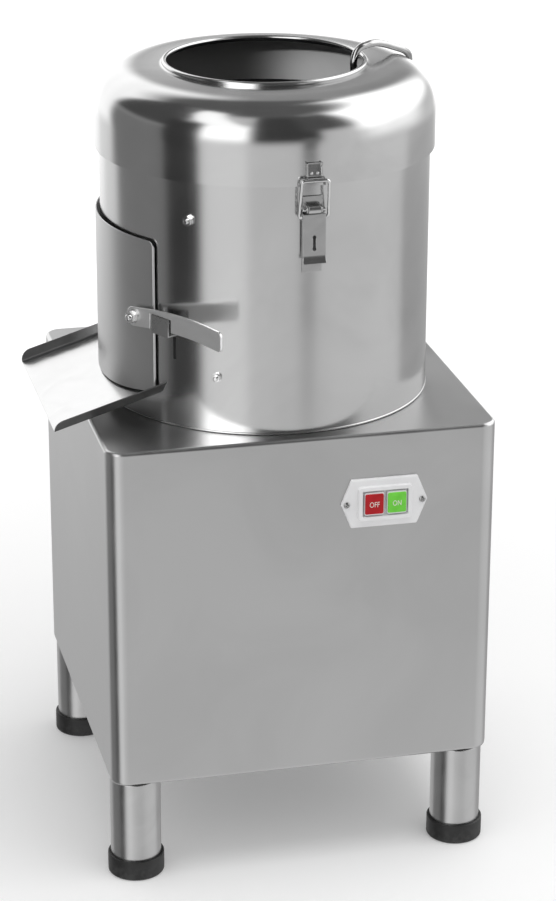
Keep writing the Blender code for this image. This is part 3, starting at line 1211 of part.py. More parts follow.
def make_water_pipe(drum, hinge):
    """The water pipe that rides on the lid, and its clip on the skirt."""
    pipe = tube(smooth_path(pipe_route(), PIPE_STEPS), PIPE_RADIUS, PIPE_BORE, PIPE_SIDES)
    add("water_pipe", pipe, ZINC_PLATE, drum, hinge)
    place = station("clip_station", drum, PIPE_TAIL_ANGLE, hinge)
    back = LID_RADIUS + SEAT_GAP
    low = CLIP_HEIGHT - CLIP_WIDTH / 2
    high = CLIP_HEIGHT + CLIP_WIDTH / 2
    strap = radial_block(CLIP_LENGTH, back, back + CLIP_SHEET, low, high)
    clip = add("pipe_clip", strap, ZINC_PLATE, place)
    centre = (0, -LID_RADIUS - PIPE_SKIN_GAP - PIPE_RADIUS, 0)
    bore = PIPE_RADIUS + SEAT_GAP
    sleeve = turned([(bore + CLIP_SHEET, low), (bore + CLIP_SHEET, high)], SMALL_SIDES)
    shape_with(clip, moved(sleeve, centre), place, "UNION")
    inside = turned([(bore, low - CUT_OVERRUN), (bore, high + CUT_OVERRUN)], SMALL_SIDES)
    shape_with(clip, moved(inside, centre), place)
    trim = radial_block(CLIP_LENGTH, LID_RADIUS / 2, back, low - CUT_OVERRUN, high + CUT_OVERRUN)
    shape_with(clip, trim, place)


# Switch

def switch_screw_places():
    return [SWITCH_X + side * SWITCH_SCREW_SPACING / 2 for side in (-1, 1)]


def switch_outline(inset, height):
    """A long hexagon with its points to left and right."""
    half = SWITCH_LENGTH / 2 - inset
    flat = SWITCH_FLAT_LENGTH / 2 - inset * SWITCH_FLAT_LENGTH / SWITCH_LENGTH
    side = SWITCH_WIDTH / 2 - inset
    return [Vector((x, y, height)) for x, y in
            ((half, 0), (flat, side), (-flat, side), (-half, 0), (-flat, -side), (flat, -side))]


def button_places():
    middle = SWITCH_X + SWITCH_WELL_OFFSET
    return {"off_button": middle - BUTTON_SPACING / 2, "on_button": middle + BUTTON_SPACING / 2}


def make_switch(machine):
    """A moulded plate with a sunk well, two buttons, its screws, and the switch behind the wall."""
    back = FRONT_PLANE - SEAT_GAP
    face = SWITCH_THICKNESS + SWITCH_FRAME_RISE
    centre = (SWITCH_X, back, SWITCH_HEIGHT)
    plate = loft([switch_outline(0, 0), switch_outline(0, SWITCH_THICKNESS - SWITCH_CHAMFER),
                  switch_outline(SWITCH_CHAMFER, SWITCH_THICKNESS)])
    plate = add("switch_plate", moved(plate, centre, TO_FRONT), WHITE_PLASTIC, machine)
    frame = prism(rounded_rectangle(SWITCH_FRAME_LENGTH, SWITCH_FRAME_WIDTH, SWITCH_FRAME_CORNER),
                  SWITCH_THICKNESS / 2, face)
    shape_with(plate, moved(frame, centre, TO_FRONT), machine, "UNION")
    well_centre = (SWITCH_X + SWITCH_WELL_OFFSET, back, SWITCH_HEIGHT)
    well = prism(rectangle(SWITCH_WELL_LENGTH, SWITCH_WELL_WIDTH), SWITCH_WELL_FLOOR, face + CUT_OVERRUN)
    shape_with(plate, moved(well, well_centre, TO_FRONT), machine)
    wall_back = FRONT_PLANE + CABINET_SHEET + SEAT_GAP
    switch = block((SWITCH_BODY_LENGTH, SWITCH_BODY_DEPTH, SWITCH_BODY_WIDTH),
                   (SWITCH_X, wall_back + SWITCH_BODY_DEPTH / 2, SWITCH_HEIGHT))
    switch = add("switch_body", switch, BLACK_PLASTIC, machine)
    proud = face + BUTTON_PROUD
    cap_back = SWITCH_WELL_FLOOR + BUTTON_TRAVEL + RUNNING_GAP
    stem_end = wall_back + BUTTON_STEM_REACH
    socket_end = stem_end + BUTTON_TRAVEL + RUNNING_GAP
    socket_width = BUTTON_STEM_WIDTH + 2 * RUNNING_GAP
    for (name, x), look in zip(button_places().items(), (RED_PLASTIC, GREEN_PLASTIC)):
        slide = pivot(name + "_slide", machine, (x, back, SWITCH_HEIGHT))
        cap = block((BUTTON_WIDTH, proud - cap_back, BUTTON_HEIGHT),
                    (x, back - (proud + cap_back) / 2, SWITCH_HEIGHT), BUTTON_EDGE)
        button = add(name, cap, look, machine, slide)
        start = back - cap_back - BUTTON_EDGE
        stem = block((BUTTON_STEM_WIDTH, stem_end - start, BUTTON_STEM_WIDTH),
                     (x, (stem_end + start) / 2, SWITCH_HEIGHT))
        shape_with(button, stem, machine, "UNION", slide)
        for target, end in ((plate, socket_end), (switch, socket_end)):
            front = back - face
            socket = block((socket_width, end - front, socket_width), (x, (end + front) / 2, SWITCH_HEIGHT))
            shape_with(target, socket, machine)
    for name, x in zip(("switch_screw_left", "switch_screw_right"), switch_screw_places()):
        shape_with(plate, screw_hole(SWITCH_SCREW_SHANK, (x, FRONT_PLANE, SWITCH_HEIGHT)), machine)
        screw = pan_screw(SWITCH_SCREW_HEAD, SWITCH_SCREW_HEIGHT, SWITCH_SCREW_SHANK, SWITCH_SCREW_LENGTH)
        place = (x, back - SWITCH_THICKNESS - SEAT_GAP, SWITCH_HEIGHT)
        add(name, moved(screw, place, TO_FRONT), ZINC_PLATE, machine)


# Bearings and spindle

def neck_top():
    return FLOOR_TOP + HOUSING_NECK_RISE


def upper_seat():
    return neck_top() - UPPER_SEAT_DEPTH


def housing_foot():
    return CEILING - SEAT_GAP - HOUSING_LENGTH


def lower_seat():
    return housing_foot() + BEARING_HEIGHT + 2 * SEAT_GAP


def hub_foot():
    return neck_top() + DISC_HUB_RISE


def make_bearings(drum):
    """The housing under the cabinet's top, with two bearings and the seal in its neck."""
    seat = BEARING_RADIUS + SEAT_GAP
    flange = CEILING - SEAT_GAP
    flange_foot = flange - HOUSING_FLANGE
    outline = [(seat, housing_foot()), (HOUSING_RADIUS, housing_foot()), (HOUSING_RADIUS, flange_foot),
               (HOUSING_FLANGE_RADIUS, flange_foot), (HOUSING_FLANGE_RADIUS, flange),
               (HOUSING_RADIUS, flange), (HOUSING_RADIUS, neck_top()), (seat, neck_top()),
               (seat, upper_seat()), (HOUSING_WAIST, upper_seat()), (HOUSING_WAIST, lower_seat()),
               (seat, lower_seat())]
    add("bearing_housing", turned(outline, MEDIUM_SIDES, closed=True), CAST_IRON, drum)
    bore = SHAFT_RADIUS + SEAT_GAP
    seal_top = neck_top() - SEAL_DROP
    for name, low, height, look in (
            ("upper_bearing", upper_seat() + SEAT_GAP, BEARING_HEIGHT, ZINC_PLATE),
            ("lower_bearing", lower_seat() - SEAT_GAP - BEARING_HEIGHT, BEARING_HEIGHT, ZINC_PLATE),
            ("shaft_seal", seal_top - SEAL_HEIGHT, SEAL_HEIGHT, BLACK_RUBBER)):
        ring = [(bore, low), (BEARING_RADIUS, low), (BEARING_RADIUS, low + height), (bore, low + height)]
        add(name, turned(ring, MEDIUM_SIDES, closed=True), look, drum)


def vee_pulley(radius, bore, sides):
    """A belt pulley turned about Z, centred on the belt's height, with a web and a long hub."""
    half = PULLEY_WIDTH / 2
    mouth = BELT_WIDTH / 2 + BELT_GAP
    root = radius - BELT_DEPTH - 2 * BELT_GAP
    narrow = mouth - BELT_TAPER
    hub = PULLEY_HUB_HEIGHT / 2
    rim = radius - PULLEY_RIM
    web = PULLEY_WEB / 2
    outline = [(bore, -hub), (PULLEY_HUB_RADIUS, -hub), (PULLEY_HUB_RADIUS, -web), (rim, -web), (rim, -half),
               (radius + PULLEY_LIP, -half), (radius + PULLEY_LIP, -mouth), (root, -narrow), (root, narrow),
               (radius + PULLEY_LIP, mouth), (radius + PULLEY_LIP, half), (rim, half), (rim, web),
               (PULLEY_HUB_RADIUS, web), (PULLEY_HUB_RADIUS, hub), (bore, hub)]
    return moved(turned(outline, sides, closed=True), (0, 0, BELT_HEIGHT))


def make_spindle(drum):
    """Everything that turns about the drum's axis: shaft, pulley, abrasive disc and knob."""
    spindle = pivot("spindle_axis", drum, (0, 0, BELT_HEIGHT))
    foot = BELT_HEIGHT - PULLEY_HUB_HEIGHT / 2 - SHAFT_TIP_RADIUS / 2
    shoulder_height = hub_foot() - SEAT_GAP
    tip = shoulder_height + SHAFT_TIP_LENGTH
    collar_low = lower_seat()
    collar_high = upper_seat()
    shaft = turned([(SHAFT_RADIUS, foot), (SHAFT_RADIUS, collar_low), (SHAFT_COLLAR_RADIUS, collar_low),
                    (SHAFT_COLLAR_RADIUS, collar_high), (SHAFT_RADIUS, collar_high),
                    (SHAFT_RADIUS, shoulder_height), (SHAFT_TIP_RADIUS, shoulder_height),
                    (SHAFT_TIP_RADIUS, tip)], MEDIUM_SIDES)
    add("main_shaft", shaft, ZINC_PLATE, drum, spindle)
    pulley = vee_pulley(DRIVEN_PULLEY_RADIUS, SHAFT_RADIUS + SEAT_GAP, MEDIUM_SIDES)
    add("driven_pulley", pulley, CAST_IRON, drum, spindle)

    radius = LINER_BORE - DISC_RIM_GAP
    bore = SHAFT_TIP_RADIUS + SEAT_GAP
    low = hub_foot() + DISC_HUB_HEIGHT
    high = low + DISC_THICKNESS
    outline = [(bore, hub_foot()), (DISC_HUB_RADIUS, hub_foot()), (DISC_HUB_RADIUS, low), (radius, low)]
    outline += [(radius * share, high) for share in DISC_RING_SHARES]
    outline.append((bore, high))
    wavy = turned(outline, LARGE_SIDES, closed=True)
    for point in wavy.verts:
        if point.co.z > low + DISC_THICKNESS / 2:
            share = hypot(point.co.x, point.co.y) / radius
            point.co.z += DISC_WAVE * share ** 2 * sin(DISC_WAVE_COUNT * atan2(point.co.y, point.co.x))
    disc = add("abrasive_disc", wavy, ABRASIVE_COAT, drum, spindle)
    for side in (-1, 1):
        start = DISC_HUB_RADIUS * 2
        vane = block((VANE_LENGTH, VANE_WIDTH, VANE_HEIGHT + DISC_THICKNESS / 2),
                     (side * (start + VANE_LENGTH / 2), 0, low + (DISC_THICKNESS / 2 - VANE_HEIGHT) / 2))
        shape_with(disc, vane, drum, "UNION", spindle)

    foot = high + SEAT_GAP
    top = foot + KNOB_HEIGHT
    inside = tip + SEAT_GAP
    knob = [(bore, inside), (bore, foot), (KNOB_RADIUS, foot), (KNOB_RADIUS, top - KNOB_EDGE),
            (KNOB_RADIUS - KNOB_EDGE / 3, top - KNOB_EDGE / 3), (KNOB_RADIUS - KNOB_EDGE, top)]
    add("disc_knob", turned(knob, MEDIUM_SIDES), POLISHED_STEEL, drum, spindle)


# Belt and motor

def belt_ring(inset, height):
    """The belt's loop round both pulleys at a depth below its outer face."""
    large = DRIVEN_PULLEY_RADIUS - inset
    small = MOTOR_PULLEY_RADIUS - inset
    across = Vector((MOTOR_X, MOTOR_Y - DRUM_Y))
    heading = atan2(across.y, across.x)
    half = acos((large - small) / across.length)
    points = []
    for radius, centre, start, sweep, steps in (
            (large, Vector((0, 0)), heading + half, 2 * pi - 2 * half, 24),
            (small, across, heading - half, 2 * half, 10)):
        for i in range(steps + 1):
            angle = start + sweep * i / steps
            points.append(Vector((centre.x + radius * cos(angle), centre.y + radius * sin(angle), height)))
    return points


def make_belt(drum):
    half = BELT_WIDTH / 2
    narrow = half - BELT_TAPER
    rings = [belt_ring(0, BELT_HEIGHT - half), belt_ring(0, BELT_HEIGHT + half),
             belt_ring(BELT_DEPTH, BELT_HEIGHT + narrow), belt_ring(BELT_DEPTH, BELT_HEIGHT - narrow)]
    add("drive_belt", loft(rings, closed=True), BLACK_RUBBER, drum)


def toothed_ring(low_radius, high_radius, count, shares, height):
    """A ring with a rib or blade between the second and third share of each pitch."""
    points = []
    for k in range(count):
        for share, radius in zip(shares, (low_radius, high_radius, high_radius, low_radius)):
            angle = 2 * pi * (k + share) / count
            points.append(Vector((radius * cos(angle), radius * sin(angle), height)))
    return points


def like_ring(ring, radius, height):
    """A round ring with its points at the same angles as another ring's."""
    return [Vector((radius * p.x / hypot(p.x, p.y), radius * p.y / hypot(p.x, p.y), height)) for p in ring]


def make_motor(machine):
    """The motor on its shelf: finned housing, fan cover, terminal box, and the turning parts."""
    frame = empty("motor_axis", machine, (MOTOR_X, MOTOR_Y, 0))
    wall = RIGHT_PLANE - CABINET_SHEET - SEAT_GAP
    under = MOTOR_PLATE_HEIGHT - MOTOR_PLATE_SHEET / 2
    shelf = under + MOTOR_PLATE_SHEET
    profile = [(wall - MOTOR_PLATE_REACH, under), (wall, under), (wall, under + MOTOR_PLATE_RISE),
               (wall - MOTOR_PLATE_SHEET, under + MOTOR_PLATE_RISE), (wall - MOTOR_PLATE_SHEET, shelf),
               (wall - MOTOR_PLATE_REACH, shelf)]
    half = MOTOR_PLATE_WIDTH / 2
    sides = [[Vector((x, MOTOR_Y + y, z)) for x, z in profile] for y in (-half, half)]
    plate = add("motor_mount_plate", loft(sides), BRUSHED_STEEL, machine)
    spigot = MOTOR_SPIGOT_RADIUS + HOLE_CLEARANCE
    hole = turned([(spigot, under - CUT_OVERRUN), (spigot, shelf + CUT_OVERRUN)], MEDIUM_SIDES)
    shape_with(plate, hole, frame)

    top = under - SEAT_GAP
    foot = top - MOTOR_HEIGHT
    valley = MOTOR_RADIUS - MOTOR_FIN_DEPTH
    fins = toothed_ring(valley, MOTOR_RADIUS, MOTOR_FIN_COUNT, MOTOR_FIN_SHARES, foot)
    bore = MOTOR_SHAFT_RADIUS + HOLE_CLEARANCE
    spigot_top = top + MOTOR_SPIGOT_HEIGHT
    rings = [like_ring(fins, bore, foot), fins, at_height(fins, top),
             like_ring(fins, MOTOR_SPIGOT_RADIUS, top),
             like_ring(fins, MOTOR_SPIGOT_RADIUS, spigot_top), like_ring(fins, bore, spigot_top)]
    add("motor_housing", loft(rings, closed=True), MOTOR_PAINT, frame)
    box_face = -MOTOR_RADIUS - SEAT_GAP
    box = block((TERMINAL_BOX_DEPTH, TERMINAL_BOX_WIDTH, TERMINAL_BOX_HEIGHT),
                (box_face - TERMINAL_BOX_DEPTH / 2, 0, top - TERMINAL_BOX_DROP - TERMINAL_BOX_HEIGHT / 2),
                TERMINAL_BOX_EDGE)
    add("terminal_box", box, BLACK_PLASTIC, frame)

    inner = MOTOR_RADIUS + SEAT_GAP
    outer = inner + FAN_COVER_SHEET
    cover_top = foot + FAN_COVER_LAP
    cover_foot = cover_top - FAN_COVER_HEIGHT
    floor = cover_foot + FAN_COVER_SHEET
    cover = [(inner, cover_top), (outer, cover_top), (outer, cover_foot), (FAN_GRILLE_RADIUS, cover_foot),
             (FAN_GRILLE_RADIUS, floor), (inner, floor)]
    add("motor_fan_cover", turned(cover, MEDIUM_SIDES, closed=True), MOTOR_PAINT, frame)

    rotor = pivot("rotor_axis", frame, (0, 0, BELT_HEIGHT))
    fan_top = foot - FAN_GAP
    fan_foot = fan_top - FAN_HEIGHT
    shaft_top = BELT_HEIGHT + PULLEY_HUB_HEIGHT / 2 + MOTOR_SHAFT_TOP_MARGIN
    shaft = turned([(MOTOR_SHAFT_RADIUS, fan_foot), (MOTOR_SHAFT_RADIUS, shaft_top)], SMALL_SIDES)
    add("motor_shaft", shaft, ZINC_PLATE, frame, rotor)
    blades = toothed_ring(FAN_HUB_RADIUS, FAN_RADIUS, FAN_BLADES, FAN_BLADE_SHARES, fan_foot)
    hub_bore = MOTOR_SHAFT_RADIUS + SEAT_GAP
    rings = [like_ring(blades, hub_bore, fan_foot), blades, at_height(blades, fan_top),
             like_ring(blades, hub_bore, fan_top)]
    add("cooling_fan", loft(rings, closed=True), BLACK_PLASTIC, frame, rotor)
    add("motor_pulley", small_pulley(hub_bore), ZINC_PLATE, frame, rotor)


def small_pulley(bore):
    """A small solid pulley with the same groove as the large one."""
    half = PULLEY_WIDTH / 2
    mouth = BELT_WIDTH / 2 + BELT_GAP
    radius = MOTOR_PULLEY_RADIUS
    root = radius - BELT_DEPTH - 2 * BELT_GAP
    narrow = mouth - BELT_TAPER
    hub = PULLEY_HUB_HEIGHT / 2
    outline = [(bore, -half), (radius + PULLEY_LIP, -half), (radius + PULLEY_LIP, -mouth), (root, -narrow),
               (root, narrow), (radius + PULLEY_LIP, mouth), (radius + PULLEY_LIP, half), (root, half),
               (root, hub), (bore, hub)]
    return moved(turned(outline, MEDIUM_SIDES, closed=True), (0, 0, BELT_HEIGHT))


# Waste outlet and gland

def widened(ring, ratio, lift=0.0):
    middle = sum(ring, Vector()) / len(ring)
    return [middle + (point - middle) * ratio + UP * lift for point in ring]


def make_drain(machine):
    """A flanged pipe from the drum's floor that bends out through the cabinet's rear."""
    low = FLOOR_TOP + SEAT_GAP
    corners = [Vector((DRAIN_X, DRAIN_Y, low)), Vector((DRAIN_X, DRAIN_Y, DRAIN_EXIT_HEIGHT)),
               Vector((DRAIN_X, REAR_PLANE + DRAIN_OUTREACH, DRAIN_EXIT_HEIGHT))]
    path = rounded_path(corners, DRAIN_BEND, 5)
    outer = sweep_rings(path, DRAIN_RADIUS, SMALL_SIDES)
    inner = sweep_rings(path, DRAIN_BORE, SMALL_SIDES)
    ratio = DRAIN_FLANGE_RADIUS / DRAIN_RADIUS
    flange = [widened(outer[0], ratio, DRAIN_FLANGE_SHEET), widened(outer[0], ratio)]
    mouth = [widened(inner[0], 1, DRAIN_FLANGE_SHEET)]
    add("drain_pipe", loft(flange + outer + inner[::-1] + mouth, closed=True), BRUSHED_STEEL, machine)


def make_gland(machine):
    """The cable gland in the cabinet's rear, with an open bore."""
    nut = SEAT_GAP + GLAND_HEX_HEIGHT
    neck = nut + GLAND_NECK_LENGTH
    rings = [circle(GLAND_BORE, -GLAND_TAIL, BOLT_SIDES), circle(GLAND_RADIUS, -GLAND_TAIL, BOLT_SIDES),
             circle(GLAND_RADIUS, SEAT_GAP, BOLT_SIDES), hexagon(GLAND_HEX_RADIUS, SEAT_GAP),
             hexagon(GLAND_HEX_RADIUS, nut), circle(GLAND_RADIUS, nut, BOLT_SIDES),
             circle(GLAND_RADIUS, neck, BOLT_SIDES), circle(GLAND_BORE, neck, BOLT_SIDES)]
    gland = moved(loft(rings, closed=True), (GLAND_X, REAR_PLANE, GLAND_HEIGHT), TO_REAR)
    add("cable_gland", gland, BLACK_PLASTIC, machine)


def centre_on_floor(machine):
    """Move the whole machine so that the middle of its overall box stands over the origin."""
    bpy.context.view_layer.update()
    seen = bpy.context.evaluated_depsgraph_get()
    corners = []
    for made in bpy.context.scene.objects:
        if made.type == "MESH" and not made.hide_render:
            solid = made.evaluated_get(seen)
            corners += [solid.matrix_world @ point.co for point in solid.data.vertices]
    for axis in (0, 1):
        values = [corner[axis] for corner in corners]
        machine.location[axis] = -(min(values) + max(values)) / 2
    bpy.context.view_layer.update()


def main():
    clear_scene()
    machine = empty("machine")
    make_cabinet(machine)
    make_rear_panel(machine)
    make_legs(machine)
    make_switch(machine)
    make_motor(machine)
    make_drain(machine)
    make_gland(machine)

    drum = empty("drum_axis", machine, (0, DRUM_Y, 0))
    shell, liner = make_drum(drum)
    make_liner_bolts(drum, shell, liner)
    make_chute(drum)
    door_place = drum_place(DRUM_RADIUS + DOOR_HINGE_OFFSET, DOOR_HINGE_ANGLE, DOOR_HINGE_MIDDLE)
    door_hinge = pivot("door_hinge_axis", drum, door_place)
    make_door(drum, door_hinge)
    make_door_hinge(drum)
    make_lever(drum, door_hinge)
    lid_hinge = pivot("lid_hinge_axis", drum, (0, DRUM_RADIUS + LID_HINGE_OFFSET, lid_hinge_height()))
    make_lid(drum, lid_hinge)
    make_lid_hinge(drum)
    make_water_pipe(drum, lid_hinge)
    make_latch(drum)
    make_keeper(drum, lid_hinge)
    make_bearings(drum)
    make_spindle(drum)
    make_belt(drum)
    centre_on_floor(machine)


main()
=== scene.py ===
# %% [markdown]
# # A potato peeling machine
# A lined drum stands on a cabinet with four legs. A disc coated with grit turns in the drum and
# throws the potatoes against the lining, which rubs off their skins. A lever opens the door over
# the chute, and the peeled potatoes slide out. The CAD model comes in as a fixed frame. This lesson
# gives each of its solids a finished surface, or a smoother piece in the same place.

# %% Load the frame
import json
from math import atan2, cos, degrees, hypot, pi, radians, sin, tan

import bmesh
import bpy
from mathutils import Matrix, Vector


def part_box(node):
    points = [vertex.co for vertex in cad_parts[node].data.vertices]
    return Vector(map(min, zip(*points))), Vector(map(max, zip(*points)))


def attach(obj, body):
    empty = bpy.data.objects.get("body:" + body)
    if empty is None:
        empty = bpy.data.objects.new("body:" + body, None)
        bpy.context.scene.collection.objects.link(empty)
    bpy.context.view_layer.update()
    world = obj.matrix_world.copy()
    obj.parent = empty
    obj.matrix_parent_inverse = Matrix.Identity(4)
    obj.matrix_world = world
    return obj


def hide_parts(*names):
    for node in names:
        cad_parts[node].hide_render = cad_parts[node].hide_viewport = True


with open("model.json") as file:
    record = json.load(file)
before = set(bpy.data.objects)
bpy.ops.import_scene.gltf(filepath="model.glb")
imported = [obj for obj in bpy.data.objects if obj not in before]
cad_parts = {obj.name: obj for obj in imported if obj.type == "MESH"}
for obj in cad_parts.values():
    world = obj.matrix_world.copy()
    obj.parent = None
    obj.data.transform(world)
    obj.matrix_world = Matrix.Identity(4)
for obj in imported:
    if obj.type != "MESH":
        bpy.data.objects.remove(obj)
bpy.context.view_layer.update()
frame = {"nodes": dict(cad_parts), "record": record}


def mm(*lengths):
    return [round(1000 * length, 1) for length in lengths]


# %% [markdown]
# ## Places that the pieces share
# Almost everything on the upper half is set round the drum's axis, at a radius, a compass angle and
# a height. They could be typed again here, but then a change in the CAD would leave them behind, so
# the axis, the radii and the heights are read from the boxes of the CAD's nodes.

# %% Places taken from the frame
CAD_BEAD_DEPTH = 0.002
Z_OUTWARDS = Matrix.Rotation(pi / 2, 4, "X")
Z_SIDEWAYS = Matrix.Rotation(pi / 2, 4, "Y")

record = frame["record"]
body_of = {node: body for body, members in record["behaviour"]["bodies"].items() for node in members}


def middle(node):
    low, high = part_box(node)
    return (low + high) / 2


cabinet_low, cabinet_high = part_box("cabinet_shell")
drum_low, drum_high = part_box("drum_shell")
lid_low, lid_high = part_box("lid_shell")
axis = Vector((middle("drum_floor").x, middle("drum_floor").y, 0))
on_axis = Matrix.Translation(axis)
DRUM_RADIUS = (drum_high.y - drum_low.y) / 2 - CAD_BEAD_DEPTH
LID_RADIUS = (lid_high.y - lid_low.y) / 2
print("Drum radius and lid radius in mm:", mm(DRUM_RADIUS, LID_RADIUS))


# %% Places round the drum
def shift(x, y, z):
    return Matrix.Translation((x, y, z))


def station(angle):
    """Axes on the drum's centre whose -Y points outwards at a compass angle."""
    return on_axis @ Matrix.Rotation(angle + pi / 2, 4, "Z")


def outward(angle, radius, height):
    """Axes beside the drum whose Z points outwards."""
    return station(angle) @ shift(0, -radius, height) @ Z_OUTWARDS


def at_radius(radius, angle, height):
    return axis + Vector((radius * cos(angle), radius * sin(angle), height))


def bearing(spot):
    """The compass angle of a spot, seen from the drum's axis."""
    return atan2(spot.y - axis.y, spot.x - axis.x)


def from_axis(spot):
    """The level direction from the drum's axis to a spot."""
    return Vector((spot.x - axis.x, spot.y - axis.y, 0)).normalized()


print("Chute's middle at degrees:", round(degrees(bearing(middle("discharge_chute")))))

# %% [markdown]
# ## Camera
# The photograph was taken with a long lens from above the machine's left front corner, so upright
# lines stay nearly parallel. The place and the angles were found by laying the CAD's edges over the
# photograph. The rotation is built from three turns, in the order in which a photographer makes
# them: swing, tilt, and a small roll.

# %% Place the camera
CAMERA_PLACE = (-0.6793, -3.00107, 1.6239)
CAMERA_SWING = radians(13.50)
CAMERA_TILT = radians(21.265)
CAMERA_ROLL = radians(0.20)
LENS_MM = 113.6
SENSOR_MM = 36


def new_object(name, data):
    """An object that carries the data, put in the scene."""
    made = bpy.data.objects.new(name, data)
    bpy.context.scene.collection.objects.link(made)
    return made


view = bpy.data.cameras.new("photo_view")
view.lens = LENS_MM
view.sensor_width = SENSOR_MM
camera = new_object("photo_view", view)
turn = Matrix.Rotation(-CAMERA_SWING, 4, "Z") @ Matrix.Rotation(pi / 2 - CAMERA_TILT, 4, "X")
camera.matrix_world = Matrix.Translation(CAMERA_PLACE) @ turn @ Matrix.Rotation(CAMERA_ROLL, 4, "Z")
bpy.context.scene.camera = camera
bpy.context.scene.view_settings.view_transform = "Standard"
print("Camera distance in m:", round((Vector(CAMERA_PLACE) - axis).length, 2))

# %% [markdown]
# ## Node helpers
# Shader trees read more easily when a node is added, set and fed in one line. The helper takes
# settings as named arguments, and a dictionary that feeds each input with a number or a socket.

# %% Helpers for shader trees
def add_node(tree, kind, feeds=None, **settings):
    made = tree.nodes.new(kind)
    for key, value in settings.items():
        setattr(made, key, value)
    for key, value in (feeds or {}).items():
        if isinstance(value, bpy.types.NodeSocket):
            tree.links.new(value, made.inputs[key])
        else:
            made.inputs[key].default_value = value
    return made


def math(tree, operation, *values):
    return add_node(tree, "ShaderNodeMath", dict(enumerate(values)), operation=operation).outputs[0]


def smooth_step(tree, value, start, end, low=0.0, high=1.0):
    """A soft ramp from low at start to high at end."""
    feeds = {"Value": value, "From Min": start, "From Max": end, "To Min": low, "To Max": high}
    return add_node(tree, "ShaderNodeMapRange", feeds, interpolation_type="SMOOTHSTEP").outputs[0]


def mix(tree, share, first, second):
    """A number between two others."""
    return add_node(tree, "ShaderNodeMix", {0: share, 2: first, 3: second}).outputs[0]


def blend(tree, share, first, second):
    """A shader between two others."""
    return add_node(tree, "ShaderNodeMixShader", {0: share, 1: first, 2: second}).outputs[0]


def new_group(name, inputs, outputs):
    """An empty node group with named inputs and outputs; a tuple is a vector."""
    made = bpy.data.node_groups.new(name, "ShaderNodeTree")
    for label, value in inputs.items():
        kind = "NodeSocketVector" if isinstance(value, tuple) else "NodeSocketFloat"
        made.interface.new_socket(label, in_out="INPUT", socket_type=kind).default_value = value
    for label in outputs:
        made.interface.new_socket(label, in_out="OUTPUT", socket_type="NodeSocketFloat")
    return made, add_node(made, "NodeGroupInput").outputs, add_node(made, "NodeGroupOutput")


# %% [markdown]
# ## Studio
# Polished steel has almost no colour of its own: what one sees is the studio round it. The
# photograph shows bright soft boxes at the right and behind, a narrow lamp at the left front, dark
# flags beside it, a dark ceiling, and a pale floor. They could be modelled as emitting planes, but
# these would have to be hidden in other views. The world carries them instead: each is a soft-edged
# card, given by its compass direction and its height above the horizon, and only reflections see it.

# %% Define one studio card
CARD_INPUTS = ("Azimuth", "Elevation", "Middle", "Half Width", "Side Edge", "Low", "High", "Level Edge",
               "Lean")
card, given, result = new_group("studio_card", dict.fromkeys(CARD_INPUTS, 0.0), ["Mask"])


def soft_edge(value, place, width, rising):
    """A mask that rises, or falls, where the value passes a place."""
    before = math(card, "SUBTRACT", given[place], given[width])
    after = math(card, "ADD", given[place], given[width])
    return smooth_step(card, value, *((before, after) if rising else (after, before)))


leaning = math(card, "MULTIPLY", given["Lean"], math(card, "SUBTRACT", given["Elevation"], given["Low"]))
centred = math(card, "SUBTRACT", math(card, "SUBTRACT", given["Azimuth"], given["Middle"]), leaning)
offset = math(card, "WRAP", centred, pi, -pi)
across = soft_edge(math(card, "ABSOLUTE", offset), "Half Width", "Side Edge", False)
above = soft_edge(given["Elevation"], "Low", "Level Edge", True)
below = soft_edge(given["Elevation"], "High", "Level Edge", False)
card.links.new(math(card, "MULTIPLY", across, math(card, "MULTIPLY", above, below)), result.inputs[0])
print("Inputs of a card:", len(CARD_INPUTS))

# %% Hang the cards
STUDIO_WALLS = 0.75
# name: middle, half width, side edge, low, high, level edge in degrees, lean, brightness
STUDIO_CARDS = {
    "right box foot": (-5, 27, 14, -9, 14, 9, 0, 1.45),
    "right soft box": (9, 45, 8, 8, 60, 8, 0, 2.1),
    "rear gap": (72, 12, 5, 10, 62, 7, 0, 0.36),
    "rear soft box": (108, 25, 6, -13, 42, 7, 0, 1.5),
    "rear box foot": (84, 27, 6, -15, 5, 5, 0, 1.55),
    "rear top": (105, 50, 6, 50, 70, 5, 0, 0.14),
    "left wall": (165, 30, 5, -60, 12, 6, 0, 0.24),
    "left wall top": (165, 32, 5, 12, 64, 6, 0, 0.08),
    "front wall": (-88, 23, 4, -4, 75, 9, 0, 0.06),
    "front wall top": (-58, 18, 6, 18, 64, 8, 0, 0.10),
    "ceiling": (0, 180, 1, 63, 95, 8, 0, 0.13),
    "left lamp foot": (-130, 15.5, 3, -60, 6, 8, 0, 0.95),
    "left lamp": (-130, 15.5, 3, 0, 34, 9, 0, 2.0),
    "left lamp top": (-132, 17, 5, 31, 68, 5, -1, 1.7),
    "dark flag": (-161, 13, 3, -62, 34, 6, 0, 0.05),
    "floor at the right": (38, 30, 5, -60, -14, 4, 0, 0.45),
    "before the cabinet": (-76, 20, 5, -60, -20, 4, 0, 0.68),
    "left of the cabinet": (104, 25, 8, -60, -20, 4, 0, 0.56),
    "behind the legs": (68, 10, 4, -60, -21, 2, 0, 0.12),
    "camera stand": (-73, 5, 3, -18, 4, 4, 0, 0.18),
}

world = bpy.data.worlds.new("studio")
bpy.context.scene.world = world
world.use_nodes = True
sky = world.node_tree
sky.nodes.clear()
direction = add_node(sky, "ShaderNodeTexCoord").outputs["Generated"]
parts = add_node(sky, "ShaderNodeSeparateXYZ", {0: direction}).outputs
azimuth = math(sky, "ARCTAN2", parts["Y"], parts["X"])
elevation = math(sky, "ARCSINE", parts["Z"])


